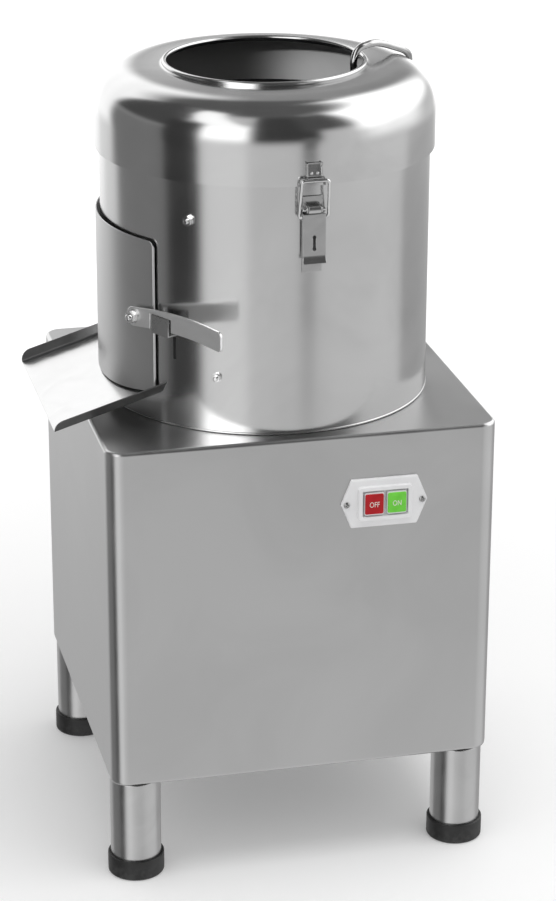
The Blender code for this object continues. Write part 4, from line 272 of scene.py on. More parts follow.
def hang(cards, level_round):
    """Lays the cards one over the other on an even level; gives what is seen in a direction."""
    level_seen = level_round
    for name, (*angles, lean, level) in cards.items():
        values = (azimuth, elevation, *[radians(angle) for angle in angles], lean)
        hung = add_node(sky, "ShaderNodeGroup", dict(zip(CARD_INPUTS, values)), label=name, node_tree=card)
        level_seen = mix(sky, hung.outputs[0], level_seen, level)
    return level_seen


brightness = hang(STUDIO_CARDS, STUDIO_WALLS)
print("Cards hung:", len(STUDIO_CARDS))

# %% [markdown]
# Polished pieces also mirror each other. Where a ray has been mirrored more than once, a second set
# of cards dims most of the studio and brightens the left lamp, as the photograph shows it. Matt
# surfaces such as rubber and plastic are lit by an even, plain world, and the camera sees a white
# background. Light Path tells these kinds of ray apart.

# %% Finish the world
SURROUND_LIGHT = 0.70
MIRRORED_TWICE = 2.5
SECOND_WALLS = 0.75
# the same numbers as above, but the last is a share of the studio's brightness
SECOND_LOOKS = {
    "right": (9, 60, 10, -5, 70, 8, 0, 0.60),
    "left lamp": (-128, 24, 6, 0, 50, 8, 0, 2.1),
}


def white_light(strength):
    feeds = {"Color": (1, 1, 1, 1), "Strength": strength}
    return add_node(sky, "ShaderNodeBackground", feeds).outputs[0]


ray = add_node(sky, "ShaderNodeLightPath").outputs
deep = math(sky, "GREATER_THAN", ray["Ray Depth"], MIRRORED_TWICE)
share = mix(sky, deep, 1.0, hang(SECOND_LOOKS, SECOND_WALLS))
reflected = white_light(math(sky, "MULTIPLY", brightness, share))
lit = blend(sky, ray["Is Glossy Ray"], white_light(SURROUND_LIGHT), reflected)
direct = math(sky, "MAXIMUM", ray["Is Camera Ray"], ray["Is Transmission Ray"])
add_node(sky, "ShaderNodeOutputWorld", {0: blend(sky, direct, lit, white_light(1.0))})
print("Even light:", SURROUND_LIGHT)

# %% [markdown]
# ## Floor and lamps
# The floor is nearly white and clear from below. Where the camera looks at it, it gets some extra
# light, which grows with the distance from the machine until the floor is as white as the
# background. The steel doesn't reflect it, because the studio cards already hold its brightness.

# %% Lay the floor
FLOOR_REACH = 30
FLOOR_SHADE = 0.85
LIFT_START, LIFT_END = 0.5, 2.2
FLOOR_LIFT_NEAR = 0.18
FLOOR_LIFT_FAR = 0.50


def object_place(tree):
    """The machine's own metres, which Object coordinates give on every piece."""
    return add_node(tree, "ShaderNodeTexCoord").outputs["Object"]


paper = bpy.data.materials.new("floor_paper")
paper.use_nodes = True
tree = paper.node_tree
tree.nodes.clear()
ray = add_node(tree, "ShaderNodeLightPath").outputs
matt = add_node(tree, "ShaderNodeBsdfDiffuse", {"Color": (FLOOR_SHADE, FLOOR_SHADE, FLOOR_SHADE, 1)})
away = add_node(tree, "ShaderNodeVectorMath", {0: object_place(tree)}, operation="LENGTH").outputs["Value"]
extra = smooth_step(tree, away, LIFT_START, LIFT_END, FLOOR_LIFT_NEAR, FLOOR_LIFT_FAR)
seen_extra = math(tree, "MULTIPLY", ray["Is Camera Ray"], extra)
lift = add_node(tree, "ShaderNodeEmission", {"Strength": seen_extra})
both = add_node(tree, "ShaderNodeAddShader", {0: matt.outputs[0], 1: lift.outputs[0]})
clear = add_node(tree, "ShaderNodeBsdfTransparent")
under = add_node(tree, "ShaderNodeNewGeometry").outputs["Backfacing"]
add_node(tree, "ShaderNodeOutputMaterial", {0: blend(tree, under, both.outputs[0], clear.outputs[0])})

sheet = bmesh.new()
bmesh.ops.create_grid(sheet, x_segments=1, y_segments=1, size=FLOOR_REACH)
mesh = bpy.data.meshes.new("floor")
sheet.to_mesh(mesh)
sheet.free()
mesh.materials.append(paper)
floor = new_object("floor", mesh)
floor.visible_glossy = False
print("Floor's half width in m:", FLOOR_REACH)

# %% [markdown]
# One wide lamp overhead draws the soft shadow under the cabinet. A narrow spot from the upper left
# reaches through the feed opening and lights the right side of the lid's inside, while the left side
# stays dark. Neither shows in the polish: matt surfaces alone see them.

# %% Hang the lamps
LAMP_PLACE = Vector((0.5, -0.5, 3.2))
LAMP_SIZE = 2.2
LAMP_POWER = 34
SPOT_REACH = 1.6
SPOT_HEADING = radians(-122)
SPOT_RISE = radians(21)
SPOT_POWER = 170
SPOT_WIDTH = radians(6.0)
SPOT_BLEND = 0.9
SPOT_SOFTNESS = 0.03
SPOT_AIM_OFFSET = 0.03


def hang_lamp(name, kind, power, place, aim, **settings):
    lamp = bpy.data.lights.new(name, kind)
    lamp.energy = power
    for key, value in settings.items():
        setattr(lamp, key, value)
    hanging = new_object(name, lamp)
    hanging.location = place
    hanging.rotation_euler = aim.to_track_quat("Z", "Y").to_euler()
    hanging.visible_glossy = False
    hanging.visible_camera = False


hang_lamp("overhead_lamp", "AREA", LAMP_POWER, LAMP_PLACE, LAMP_PLACE, shape="DISK", size=LAMP_SIZE)
aim = Vector((cos(SPOT_RISE) * cos(SPOT_HEADING), cos(SPOT_RISE) * sin(SPOT_HEADING), sin(SPOT_RISE)))
spot_place = Vector((axis.x + SPOT_AIM_OFFSET, axis.y, lid_high.z)) + aim * SPOT_REACH
hang_lamp("opening_spot", "SPOT", SPOT_POWER, spot_place, aim,
          spot_size=SPOT_WIDTH, spot_blend=SPOT_BLEND, shadow_soft_size=SPOT_SOFTNESS)
print("Lamp and spot power in W:", LAMP_POWER, SPOT_POWER)

# %% [markdown]
# ## Surface effects
# A finish is more than a colour. Brushed sheet has fine lines in one direction, every metal is a
# little cloudy where hands and cloths have been, mouldings have a faint orange-peel skin, and the
# lining is a layer of grains. Each effect is a group, built once and set in each material with its
# own sizes. All read object coordinates, which here are the machine's own metres.

# %% Group for lines and grain
def noise(tree, place, scale, detail, **more):
    feeds = {"Vector": place, "Scale": scale, "Detail": detail, **more}
    return add_node(tree, "ShaderNodeTexNoise", feeds).outputs["Fac"]


grain, given, result = new_group("grain_lines", {"Stretch": (1, 1, 1), "Fineness": 1000.0}, ["Height"])
feeds = {0: object_place(grain), 1: given["Stretch"]}
drawn = add_node(grain, "ShaderNodeVectorMath", feeds, operation="MULTIPLY").outputs[0]
grain.links.new(noise(grain, drawn, given["Fineness"], 3.0), result.inputs[0])

# %% Group for lines that run round the drum
hoop, given, result = new_group("hoop_lines", {"Fineness": 1000.0, "Length": 0.03}, ["Height"])
feeds = {0: object_place(hoop), 1: tuple(-axis)}
centred = add_node(hoop, "ShaderNodeVectorMath", feeds, operation="ADD").outputs[0]
parts = add_node(hoop, "ShaderNodeSeparateXYZ", {0: centred}).outputs
heading = math(hoop, "ARCTAN2", parts["Y"], parts["X"])
squares = [math(hoop, "MULTIPLY", parts[side], parts[side]) for side in ("X", "Y")]
radius = math(hoop, "SQRT", math(hoop, "ADD", *squares))
along = math(hoop, "MULTIPLY", math(hoop, "MULTIPLY", heading, given["Length"]), DRUM_RADIUS)
wound = add_node(hoop, "ShaderNodeCombineXYZ", {0: along, 1: radius, 2: parts["Z"]}).outputs[0]
hoop.links.new(noise(hoop, wound, given["Fineness"], 3.0), result.inputs[0])

# %% Group for cloudy handling marks
clouds, given, result = new_group("handling_clouds", {"Size": 9.0, "Warp": 1.2}, ["Mask"])
cloudy = noise(clouds, object_place(clouds), given["Size"], 4.0, Distortion=given["Warp"])
clouds.links.new(smooth_step(clouds, cloudy, 0.30, 0.70), result.inputs[0])

# %% Group for a layer of grit
grit, given, result = new_group("grit_layer", {"Grains": 700.0}, ["Height", "Tone", "Glint"])
place = object_place(grit)
feeds = {"Vector": place, "Scale": given["Grains"]}
cells = add_node(grit, "ShaderNodeTexVoronoi", feeds, feature="F1").outputs
patches = noise(grit, place, math(grit, "MULTIPLY", given["Grains"], 0.12), 3.0)
dome = math(grit, "SUBTRACT", 1.0, cells["Distance"])
shade = add_node(grit, "ShaderNodeSeparateColor", {0: cells["Color"]}).outputs
grit.links.new(math(grit, "MULTIPLY", dome, math(grit, "ADD", 0.4, shade[1])), result.inputs[0])
grit.links.new(math(grit, "MULTIPLY", shade[0], patches), result.inputs[1])
grit.links.new(smooth_step(grit, shade[2], 0.90, 0.95), result.inputs[2])

# %% Group for a moulded or cast skin
skin, given, result = new_group("moulded_skin", {"Fineness": 600.0, "Roughness": 0.5}, ["Height"])
lumps = noise(skin, object_place(skin), given["Fineness"], 2.0, Roughness=given["Roughness"])
skin.links.new(lumps, result.inputs[0])

# %% Group for dust that gathers near the floor
dust, given, result = new_group("floor_dust", {"Reach": 0.02}, ["Mask"])
place = object_place(dust)
height = add_node(dust, "ShaderNodeSeparateXYZ", {0: place}).outputs["Z"]
ragged = smooth_step(dust, noise(dust, place, 120.0, 4.0), 0.40, 0.65)
low_down = smooth_step(dust, height, given["Reach"], 0.0)
dust.links.new(math(dust, "MULTIPLY", low_down, ragged), result.inputs[0])
print("Effect groups:", sorted(group.name for group in bpy.data.node_groups))

# %% [markdown]
# ## Materials
# All finishes share one start: a Principled shader whose plain numbers are set on its own sockets.
# What changes over the surface comes from the groups: the shade between two tones, the roughness
# between two values, and the height under a Bump node. The pieces find their finish by its name.

# %% Helpers for materials
def new_finish(name, **numbers):
    """A Principled material; the numbers are set on the shader's own sockets."""
    made = bpy.data.materials.new(name)
    made.use_nodes = True
    shader = made.node_tree.nodes["Principled BSDF"]
    for label, value in numbers.items():
        shader.inputs[label.replace("_", " ")].default_value = value
    return made.node_tree, shader


def put_group(tree, group, **numbers):
    """Places a group node with its own values."""
    return add_node(tree, "ShaderNodeGroup", numbers, node_tree=group).outputs


def tint(tree, mask, dark, light):
    """A colour between two tones by a mask."""
    feeds = {0: mask, 6: (*dark, 1), 7: (*light, 1)}
    return add_node(tree, "ShaderNodeMix", feeds, data_type="RGBA").outputs[2]


def feed(tree, shader, colour, roughness, height, depth):
    """Connects a colour, a roughness and a bump of a real depth in metres."""
    bump = add_node(tree, "ShaderNodeBump", {"Height": height, "Distance": depth, "Strength": 1.0})
    for label, value in (("Base Color", colour), ("Roughness", roughness), ("Normal", bump.outputs[0])):
        tree.links.new(value, shader.inputs[label])


def grey(value):
    return (value, value, value)


# %% [markdown]
# The steels differ in how they were ground. The cabinet's sheet has fine upright lines and a soft
# shine. The drum and the lid are polished, with faint lines round them. Small pressed parts are
# bright and even. Where a piece stands in the shade of others, its steel is a darker one: painted
# shade. The lever's steel is much lighter than the drum's: painted light.

# %% Steel finishes
def steel(name, shade, shine, change, depth, fineness, lines, cloud, metallic=1.0):
    """Stainless sheet: its lines are stretched by three numbers, or run round the drum by a length."""
    tree, shader = new_finish(name, Metallic=metallic)
    cloudy = put_group(tree, clouds, Size=cloud, Warp=1.0)[0]
    if isinstance(lines, tuple):
        drawn = put_group(tree, grain, Stretch=lines, Fineness=fineness)[0]
    else:
        drawn = put_group(tree, hoop, Fineness=fineness, Length=lines)[0]
    rough = smooth_step(tree, cloudy, 0.0, 1.0, shine, shine + change)
    rough = math(tree, "ADD", rough, math(tree, "MULTIPLY", drawn, change))
    feed(tree, shader, tint(tree, cloudy, grey(shade * 0.95), grey(shade * 1.04)), rough, drawn, depth)


# name: shade, roughness, what clouds add to it, depth and fineness of the lines, lines, size of clouds
STEELS = {
    "cabinet_steel": (0.60, 0.28, 0.05, 6.0e-6, 1400, (1, 1, 0.02), 5.0),
    "drum_steel": (0.60, 0.15, 0.03, 1.5e-6, 1200, 0.03, 6.0),
    "lid_steel": (0.60, 0.13, 0.03, 1.5e-6, 1200, 0.02, 8.0),
    "pressed_steel": (0.62, 0.15, 0.05, 4.0e-6, 1600, (0.05, 1, 1), 25.0),
    "tube_steel": (0.58, 0.27, 0.04, 1.2e-6, 1500, (1, 1, 0.03), 20.0),
    "bright_plate": (0.74, 0.11, 0.06, 6.0e-6, 900, (1, 1, 1), 60.0),
    # the lever's steel: a much lighter shade, painted light for light the studio doesn't bring to it
    "lever_painted_light_steel": (0.93, 0.34, 0.06, 6.0e-6, 1300, (1, 1, 0.06), 22.0),
    "bolt_steel": (0.86, 0.07, 0.05, 4.0e-6, 1500, (1, 1, 1), 150.0),
    "screw_steel": (0.42, 0.09, 0.05, 4.0e-6, 1500, (1, 1, 1), 150.0),
    "pipe_steel": (0.52, 0.11, 0.05, 2.0e-6, 1500, (1, 1, 1), 60.0),
    # the lid's inside: rougher, and a darker steel as painted shade for the dim inside of the ring
    "satin_inside_painted_shade": (0.30, 0.50, 0.06, 4.0e-6, 900, 0.05, 10.0, 0.25),
    "shaded_steel": (0.23, 0.26, 0.05, 4.0e-6, 1600, (0.05, 1, 1), 25.0),
    "dull_plate": (0.42, 0.24, 0.06, 5.0e-6, 1200, (1, 1, 1), 60.0),
    "turned_steel": (0.58, 0.20, 0.06, 3.0e-6, 2500, (0.1, 0.1, 1), 40.0),
}
for name, values in STEELS.items():
    steel(name, *values)
print("Steel finishes:", len(STEELS))

# %% [markdown]
# The lining and the disc carry a layer of silicon carbide grit in dark resin: rough, almost black,
# with single grains that glint. The pulley and the bearing housing are cast iron with the skin of
# the sand mould.

# %% Grit and cast iron
def grit_finish(name, grains, depth):
    tree, shader = new_finish(name, Metallic=0.0)
    layer = put_group(tree, grit, Grains=grains)
    colour = tint(tree, layer["Tone"], (0.030, 0.030, 0.032), (0.17, 0.17, 0.175))
    rough = smooth_step(tree, layer["Glint"], 0.0, 1.0, 0.85, 0.25)
    feed(tree, shader, colour, rough, layer["Height"], depth)


grit_finish("lining_grit", 800, 0.0004)
grit_finish("disc_grit", 560, 0.0007)

tree, shader = new_finish("cast_iron", Metallic=0.75)
cast = put_group(tree, skin, Fineness=420, Roughness=0.7)[0]
worn = put_group(tree, clouds, Size=30.0, Warp=2.0)[0]
rough = smooth_step(tree, cast, 0.2, 0.8, 0.42, 0.66)
feed(tree, shader, tint(tree, worn, grey(0.10), grey(0.19)), rough, cast, 0.0003)
print("Materials:", len(bpy.data.materials))

# %% [markdown]
# Rubber and plastics take their look from the mould: a faint skin, a sheen that varies a little, and
# on the feet some dust from the floor. The motor is painted with a slightly lumpy enamel. The back of
# the lining is near black: painted shade, so that the slot and the holes in the drum look deep.

# %% Rubber, plastic and paint
def moulded(name, dark, light, shine, fineness, depth, cloud=20.0, **numbers):
    tree, shader = new_finish(name, Metallic=0.0, **numbers)
    lumps = put_group(tree, skin, Fineness=fineness, Roughness=0.5)[0]
    cloudy = put_group(tree, clouds, Size=cloud, Warp=1.5)[0]
    rough = smooth_step(tree, cloudy, 0.0, 1.0, shine, shine + 0.10)
    feed(tree, shader, tint(tree, cloudy, dark, light), rough, lumps, depth)


# name: darkest tone, lightest tone, roughness, fineness and depth of the skin, size of clouds
MOULDINGS = {
    "white_moulding": ((0.84, 0.84, 0.85), (0.89, 0.89, 0.895), 0.30, 900, 2e-5),
    "letter_white": ((0.74, 0.70, 0.64), (0.84, 0.80, 0.74), 0.45, 2500, 1e-5, 200.0),
    "black_moulding": (grey(0.020), grey(0.034), 0.40, 1100, 3e-5),
    "motor_enamel": ((0.15, 0.18, 0.205), (0.20, 0.235, 0.265), 0.30, 260, 1e-4),
    "belt_rubber": (grey(0.012), grey(0.024), 0.62, 1400, 8e-5, 40.0),
    # the lining's back: near black, painted shade for the slot and holes that show it
    "lining_back_painted_shade": (grey(0.010), grey(0.018), 0.60, 900, 3e-5),
}
for name, values in MOULDINGS.items():
    moulded(name, *values)
for name, dark, light in (("red_moulding", (0.44, 0.006, 0.012), (0.52, 0.008, 0.016)),
                          ("green_moulding", (0.16, 0.64, 0.055), (0.19, 0.72, 0.07))):
    moulded(name, dark, light, 0.28, 1500, 1e-5, 60.0, Specular_IOR_Level=0.30)

tree, shader = new_finish("foot_rubber", Metallic=0.0)
lumps = put_group(tree, skin, Fineness=800, Roughness=0.6)[0]
dusty = put_group(tree, dust, Reach=0.022)[0]
rough = smooth_step(tree, dusty, 0.0, 1.0, 0.50, 0.80)
feed(tree, shader, tint(tree, dusty, grey(0.017), grey(0.060)), rough, lumps, 5e-5)
print("Materials:", len(bpy.data.materials))

# %% [markdown]
# ## Shape helpers
# A few steps come back for most pieces. A round piece is a section spun about an axis. An eased piece
# is a merged copy of the CAD's solid with its sharp edges rounded, because no real edge is perfectly
# sharp and the round catches the light. A hole is taken out of a closed shape with the exact Boolean.

# %% Round edges and corners
SMOOTH_ANGLE = radians(35)
FLAT_ANGLE = radians(0.8)
JOINED_FLAT_ANGLE = radians(1.0)
MERGE_DISTANCE = 1e-6
X_WAY, Y_WAY, Z_WAY = Vector((1, 0, 0)), Vector((0, 1, 0)), Vector((0, 0, 1))


def round_off(shape, geometry, width, segments, affect="EDGES"):
    """Bevels edges, or the corners of a flat blank; gives the new faces."""
    return bmesh.ops.bevel(shape, geom=geometry, offset=width, offset_type="OFFSET", segments=segments,
                           profile=0.5, affect=affect, clamp_overlap=False, material=-1)["faces"]


def edges_along(shape, way):
    """The edges that point along a direction."""
    return [edge for edge in shape.edges
            if abs((edge.verts[1].co - edge.verts[0].co).normalized().dot(way)) > 0.999]


def edges_where(shape, passes):
    """The edges whose two ends pass a test."""
    return [edge for edge in shape.edges if all(passes(point.co) for point in edge.verts)]


def ease_edges(shape, width, segments):
    """Rounds the sharp edges; where a round meets a face, the shading may break."""
    bmesh.ops.dissolve_limit(shape, angle_limit=FLAT_ANGLE, verts=shape.verts, edges=shape.edges)
    bmesh.ops.remove_doubles(shape, verts=shape.verts, dist=width / 20)
    bmesh.ops.recalc_face_normals(shape, faces=shape.faces)
    sharp = [edge for edge in shape.edges if edge.calc_face_angle(0) > SMOOTH_ANGLE]
    rounds = set(round_off(shape, sharp, width, segments))
    for edge in shape.edges:
        kinds = {face in rounds for face in edge.link_faces}
        edge.smooth = len(kinds) == 1 and edge.calc_face_angle(0) < SMOOTH_ANGLE


print("Smoothing below degrees:", round(degrees(SMOOTH_ANGLE)))


# %% Make a bmesh into a piece
def show(name, shape, finish, node, edge=0.0, segments=2):
    """Makes the shape a piece that stands for a node and rides with its body."""
    if edge > 0:
        ease_edges(shape, edge, segments)
    for face in shape.faces:
        face.smooth = True
    mesh = bpy.data.meshes.new(name)
    shape.to_mesh(mesh)
    shape.free()
    mesh.materials.append(bpy.data.materials[finish])
    made = new_object(name, mesh)
    if edge == 0:
        mesh.set_sharp_from_angle(angle=SMOOTH_ANGLE)
    made.modifiers.new("flat_faces", "WEIGHTED_NORMAL").keep_sharp = True
    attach(made, body_of[node])
    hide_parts(node)
    return made


def second_finish(piece, finish, chosen):
    """Gives the chosen faces of a piece another finish."""
    piece.data.materials.append(bpy.data.materials[finish])
    for face in piece.data.polygons:
        face.material_index = int(chosen(face))


def eased(name, node, finish, edge=0.0003, segments=2):
    """A merged copy of a CAD node, with its flat triangles joined and its edges rounded."""
    shape = bmesh.new()
    shape.from_mesh(frame["nodes"][node].data)
    bmesh.ops.remove_doubles(shape, verts=shape.verts, dist=MERGE_DISTANCE)
    bmesh.ops.dissolve_limit(shape, angle_limit=JOINED_FLAT_ANGLE, verts=shape.verts, edges=shape.edges)
    return show(name, shape, finish, node, edge, segments)


def heights(piece):
    """The lowest and the highest point of a piece."""
    levels = [point.co.z for point in piece.data.vertices]
    return min(levels), max(levels)


# %% Basic solids
def block(low, high, place=Matrix()):
    low, high = Vector(low), Vector(high)
    shape = bmesh.new()
    seat = place @ Matrix.Translation((low + high) / 2) @ Matrix.Diagonal((*(high - low), 1))
    bmesh.ops.create_cube(shape, size=1, matrix=seat)
    return shape


def rod(radius, low, high, place=Matrix(), sides=48):
    """A cylinder along Z in the given axes."""
    shape = bmesh.new()
    bmesh.ops.create_cone(shape, cap_ends=True, segments=sides, radius1=radius, radius2=radius,
                          depth=high - low, matrix=place @ shift(0, 0, (low + high) / 2))
    return shape


def turned(section, place=None, steps=128, closed=True):
    """Spins a section of (radius, height) points about an upright axis."""
    shape = bmesh.new()
    points = [shape.verts.new((radius, 0, height)) for radius, height in section]
    pairs = list(zip(points, points[1:]))
    if closed:
        pairs.append((points[-1], points[0]))
    lines = [shape.edges.new(pair) for pair in pairs]
    bmesh.ops.spin(shape, geom=points + lines, cent=(0, 0, 0), axis=Z_WAY, angle=2 * pi, steps=steps,
                   use_merge=True)
    bmesh.ops.remove_doubles(shape, verts=shape.verts, dist=MERGE_DISTANCE)
    bmesh.ops.recalc_face_normals(shape, faces=shape.faces)
    if place:
        bmesh.ops.transform(shape, matrix=place, verts=shape.verts)
    return shape


def arc(centre, radius, start, end, steps):
    """Points of a round stretch in a section, angles from the outward direction."""
    return [(centre[0] + radius * cos(start + (end - start) * i / steps),
             centre[1] + radius * sin(start + (end - start) * i / steps)) for i in range(steps + 1)]


# %% Cut and unite
def combined(shape, tools, operation):
    """Cuts closed tools out of a closed shape, or unites them with it."""
    made = []
    for part in (shape, *tools):
        mesh = bpy.data.meshes.new("blank")
        part.to_mesh(mesh)
        part.free()
        made.append(new_object("blank", mesh))
    for tool in made[1:]:
        change = made[0].modifiers.new("change", "BOOLEAN")
        change.operation = operation
        change.solver = "EXACT"
        change.object = tool
    bpy.context.view_layer.update()
    done = bmesh.new()
    done.from_object(made[0], bpy.context.evaluated_depsgraph_get())
    for old in made:
        mesh = old.data
        bpy.data.objects.remove(old)
        bpy.data.meshes.remove(mesh)
    return done


def cut(shape, *tools):
    return combined(shape, tools, "DIFFERENCE")


def united(shape, *tools):
    return combined(shape, tools, "UNION")


# %% [markdown]
# ## Cabinet
# The cabinet is one sheet folded round four corners, with a top pressed to a soft edge and a flange
# folded in below. A box with bevelled edges gives the outside, and a second box taken out of it
# leaves the sheet. The holes are for the drum's neck, the drain, its outlet, the cable, the switch
# and the service opening at the rear.

# %% Shape the cabinet
SHEET = 0.0012
CORNER_RADIUS = 0.019
TOP_EDGE_RADIUS = 0.004
BOTTOM_EDGE_RADIUS = 0.005
FLANGE_WIDTH = 0.0627
FLANGE_CORNER = 0.002
OVERRUN = 0.012
PANEL_LAP = 0.014
SWITCH_MARGIN = 0.003
NECK_HOLE, DRAIN_HOLE, OUTLET_HOLE, CABLE_HOLE = 0.0314, 0.0229, 0.0193, 0.0088
DRAIN_INSET = 0.026
OUTLET_RISE = 0.0190


def cabinet_box(inset):
    """The cabinet's outside, or its inside at a sheet's depth."""
    margin = Vector((inset, inset, inset))
    low, high = cabinet_low + margin, cabinet_high - margin
    shape = block(low, high)
    round_off(shape, edges_along(shape, Z_WAY), CORNER_RADIUS - inset, 10)
    for height, width in ((high.z, TOP_EDGE_RADIUS), (low.z, BOTTOM_EDGE_RADIUS)):
        loop = edges_where(shape, lambda spot: abs(spot.z - height) < MERGE_DISTANCE)
        round_off(shape, loop, width - inset, 5)
    return shape


def window_at(node, margin, wall):
    """A tool through a wall, smaller than a node by a margin all round."""
    low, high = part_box(node)
    return block((low.x + margin, wall - OVERRUN, low.z + margin),
                 (high.x - margin, wall + OVERRUN, high.z - margin))


def cabinet_holes():
    """Tools for the openings in the cabinet's sheet."""
    (left, front, foot), (right, rear, top) = cabinet_low, cabinet_high
    base = block((left + FLANGE_WIDTH, front + FLANGE_WIDTH, foot - OVERRUN),
                 (right - FLANGE_WIDTH, rear - FLANGE_WIDTH, foot + OVERRUN))
    round_off(base, edges_along(base, Z_WAY), FLANGE_CORNER, 3)
    low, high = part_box("drain_pipe")
    across = (low.x + high.x) / 2
    gland = middle("cable_gland")
    through_top = [rod(radius, top - OVERRUN, top + OVERRUN, place) for radius, place in (
        (NECK_HOLE, on_axis), (DRAIN_HOLE, shift(across, low.y + DRAIN_INSET, 0)))]
    through_rear = [rod(radius, -OVERRUN, OVERRUN, shift(x, rear, z) @ Z_OUTWARDS) for radius, x, z in (
        (OUTLET_HOLE, across, low.z + OUTLET_RISE), (CABLE_HOLE, gland.x, gland.z))]
    return [base, window_at("rear_panel", PANEL_LAP, rear), window_at("switch_body", SWITCH_MARGIN, front),
            *through_top, *through_rear]


cabinet_shape = cut(cabinet_box(0), cabinet_box(SHEET), *cabinet_holes())
cabinet = show("cabinet", cabinet_shape, "cabinet_steel", "cabinet_shell")
eased("rear_cover", "rear_panel", "cabinet_steel")
print("Cabinet faces:", len(cabinet.data.polygons))

# %% [markdown]
# ## Legs and feet
# Each leg is a length of tube under the flange, in a moulded rubber cup. Both are sections spun about
# the leg's axis, with the cup's edges rounded.

# %% Shape the legs and feet
LEG_WALL = 0.0015
LEG_EDGE = 0.001
CUP_EASE = 0.003
CUP_LIP = 0.0012
CUP_BASE = 0.005
CUP_GAP = 0.0003


def leg_section(radius, low, high):
    inner = radius - LEG_WALL
    return [(0, high.z - LEG_WALL), (inner, high.z - LEG_WALL), (inner, low.z), (radius, low.z),
            *arc((radius - LEG_EDGE, high.z - LEG_EDGE), LEG_EDGE, 0, pi / 2, 3), (0, high.z)]


def cup_section(leg_radius, low, high):
    radius = (high.x - low.x) / 2
    bore = leg_radius + CUP_GAP
    return [(0, low.z), *arc((radius - CUP_EASE, low.z + CUP_EASE), CUP_EASE, -pi / 2, 0, 6),
            *arc((radius - CUP_LIP, high.z - CUP_LIP), CUP_LIP, 0, pi / 2, 4), (bore, high.z),
            (bore, CUP_BASE), (0, CUP_BASE)]


for corner in ("front_left", "front_right", "rear_left", "rear_right"):
    seat = middle("leg_" + corner)
    leg_low, leg_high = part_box("leg_" + corner)
    radius = (leg_high.x - leg_low.x) / 2
    for name, finish, node, section in (
            ("tube_", "tube_steel", "leg_", leg_section(radius, leg_low, leg_high)),
            ("cup_", "foot_rubber", "foot_", cup_section(radius, *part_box("foot_" + corner)))):
        shape = turned(section, shift(seat.x, seat.y, 0), steps=64, closed=False)
        show(name + corner, shape, finish, node + corner)
print("Leg height in mm:", round(1000 * leg_high.z))

# %% [markdown]
# ## Drum, floor and lining
# The drum is a sheet rolled round and seamed, with a small bead where it sits on the cabinet. Inside
# it stands the lining, a sleeve coated with grit. Both are spun, and the discharge opening is cut
# through both with one rounded block. A slot for the catch and two bolt holes go through the drum's
# wall alone. The back of the lining, which shows through them, is near black: painted shade.

# %% Shape the drum and its lining
DRUM_WALL = 0.0015
FOOT_BEAD_DEPTH = 0.0010
FOOT_BEAD_HEIGHT = 0.0025
DRUM_STEPS = 192
OPENING_SILL, OPENING_HEAD = 0.549, 0.715
OPENING_HALF_WIDTH = 0.093
OPENING_CORNER = 0.014
SLOT_ANGLE = radians(-135)
SLOT_HALF_WIDTH = 0.00175
SLOT_DEPTH = 0.00165
SLOT_FOOT, SLOT_HEAD = 0.598, 0.623
LINING_BOLT_HOLE = 0.0032
LINING_THICKNESS = 0.003
drum_foot, drum_rim = drum_low.z, drum_high.z


def drum_opening():
    shape = block((axis.x - DRUM_RADIUS - OVERRUN, axis.y - OPENING_HALF_WIDTH, OPENING_SILL),
                  (axis.x - DRUM_RADIUS / 2, axis.y + OPENING_HALF_WIDTH, OPENING_HEAD))
    round_off(shape, edges_along(shape, X_WAY), OPENING_CORNER, 8)
    return shape


def drum_section():
    bore = DRUM_RADIUS - DRUM_WALL
    half = FOOT_BEAD_HEIGHT / 2
    turns = [pi / 2 - pi * i / 12 for i in range(1, 12)]
    bead = [(DRUM_RADIUS + FOOT_BEAD_DEPTH * cos(a), drum_foot + half + half * sin(a)) for a in turns]
    return [(bore, drum_rim), (DRUM_RADIUS, drum_rim), (DRUM_RADIUS, drum_foot + FOOT_BEAD_HEIGHT), *bead,
            (DRUM_RADIUS, drum_foot), (bore, drum_foot)]


def bolt_hole(node, radius):
    """A tool along a bolt that stands out of the drum."""
    spot = middle(node)
    return rod(radius, -OVERRUN, OVERRUN, outward(bearing(spot), DRUM_RADIUS, spot.z), 24)


slot_tool = block((-SLOT_HALF_WIDTH, -DRUM_RADIUS - OVERRUN, SLOT_FOOT),
                  (SLOT_HALF_WIDTH, -DRUM_RADIUS + SLOT_DEPTH, SLOT_HEAD), station(SLOT_ANGLE))
holes = [bolt_hole(node, LINING_BOLT_HOLE) for node in ("liner_bolt_upper", "liner_bolt_lower")]
drum_shape = cut(turned(drum_section(), on_axis, DRUM_STEPS), drum_opening(), slot_tool, *holes)
drum = show("drum_wall", drum_shape, "drum_steel", "drum_shell")

liner_low, liner_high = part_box("abrasive_liner")
liner_outer = (liner_high.x - liner_low.x) / 2
liner_inner = liner_outer - LINING_THICKNESS
sleeve = [(liner_inner, liner_low.z), (liner_outer, liner_low.z), (liner_outer, liner_high.z),
          (liner_inner, liner_high.z)]
liner_shape = cut(turned(sleeve, on_axis, DRUM_STEPS), drum_opening())
lining = show("grit_lining", liner_shape, "lining_grit", "abrasive_liner")
# The lining's outer faces are painted shade: near black, so the slot and the bolt holes look deep.
second_finish(lining, "lining_back_painted_shade", lambda face: face.normal.dot(from_axis(face.center)) > 0.5)
eased("drum_base", "drum_floor", "drum_steel")
print("Drum faces:", len(drum.data.polygons))

# %% [markdown]
# ## Lid
# The lid is a pressed ring. Its skirt slips over the drum, its shoulder rounds over towards the feed
# opening, and the edge of the opening is rolled into a bead. A round quarter would look like a
# plain dome: the real shoulder is fuller, which a superellipse with a small exponent gives.

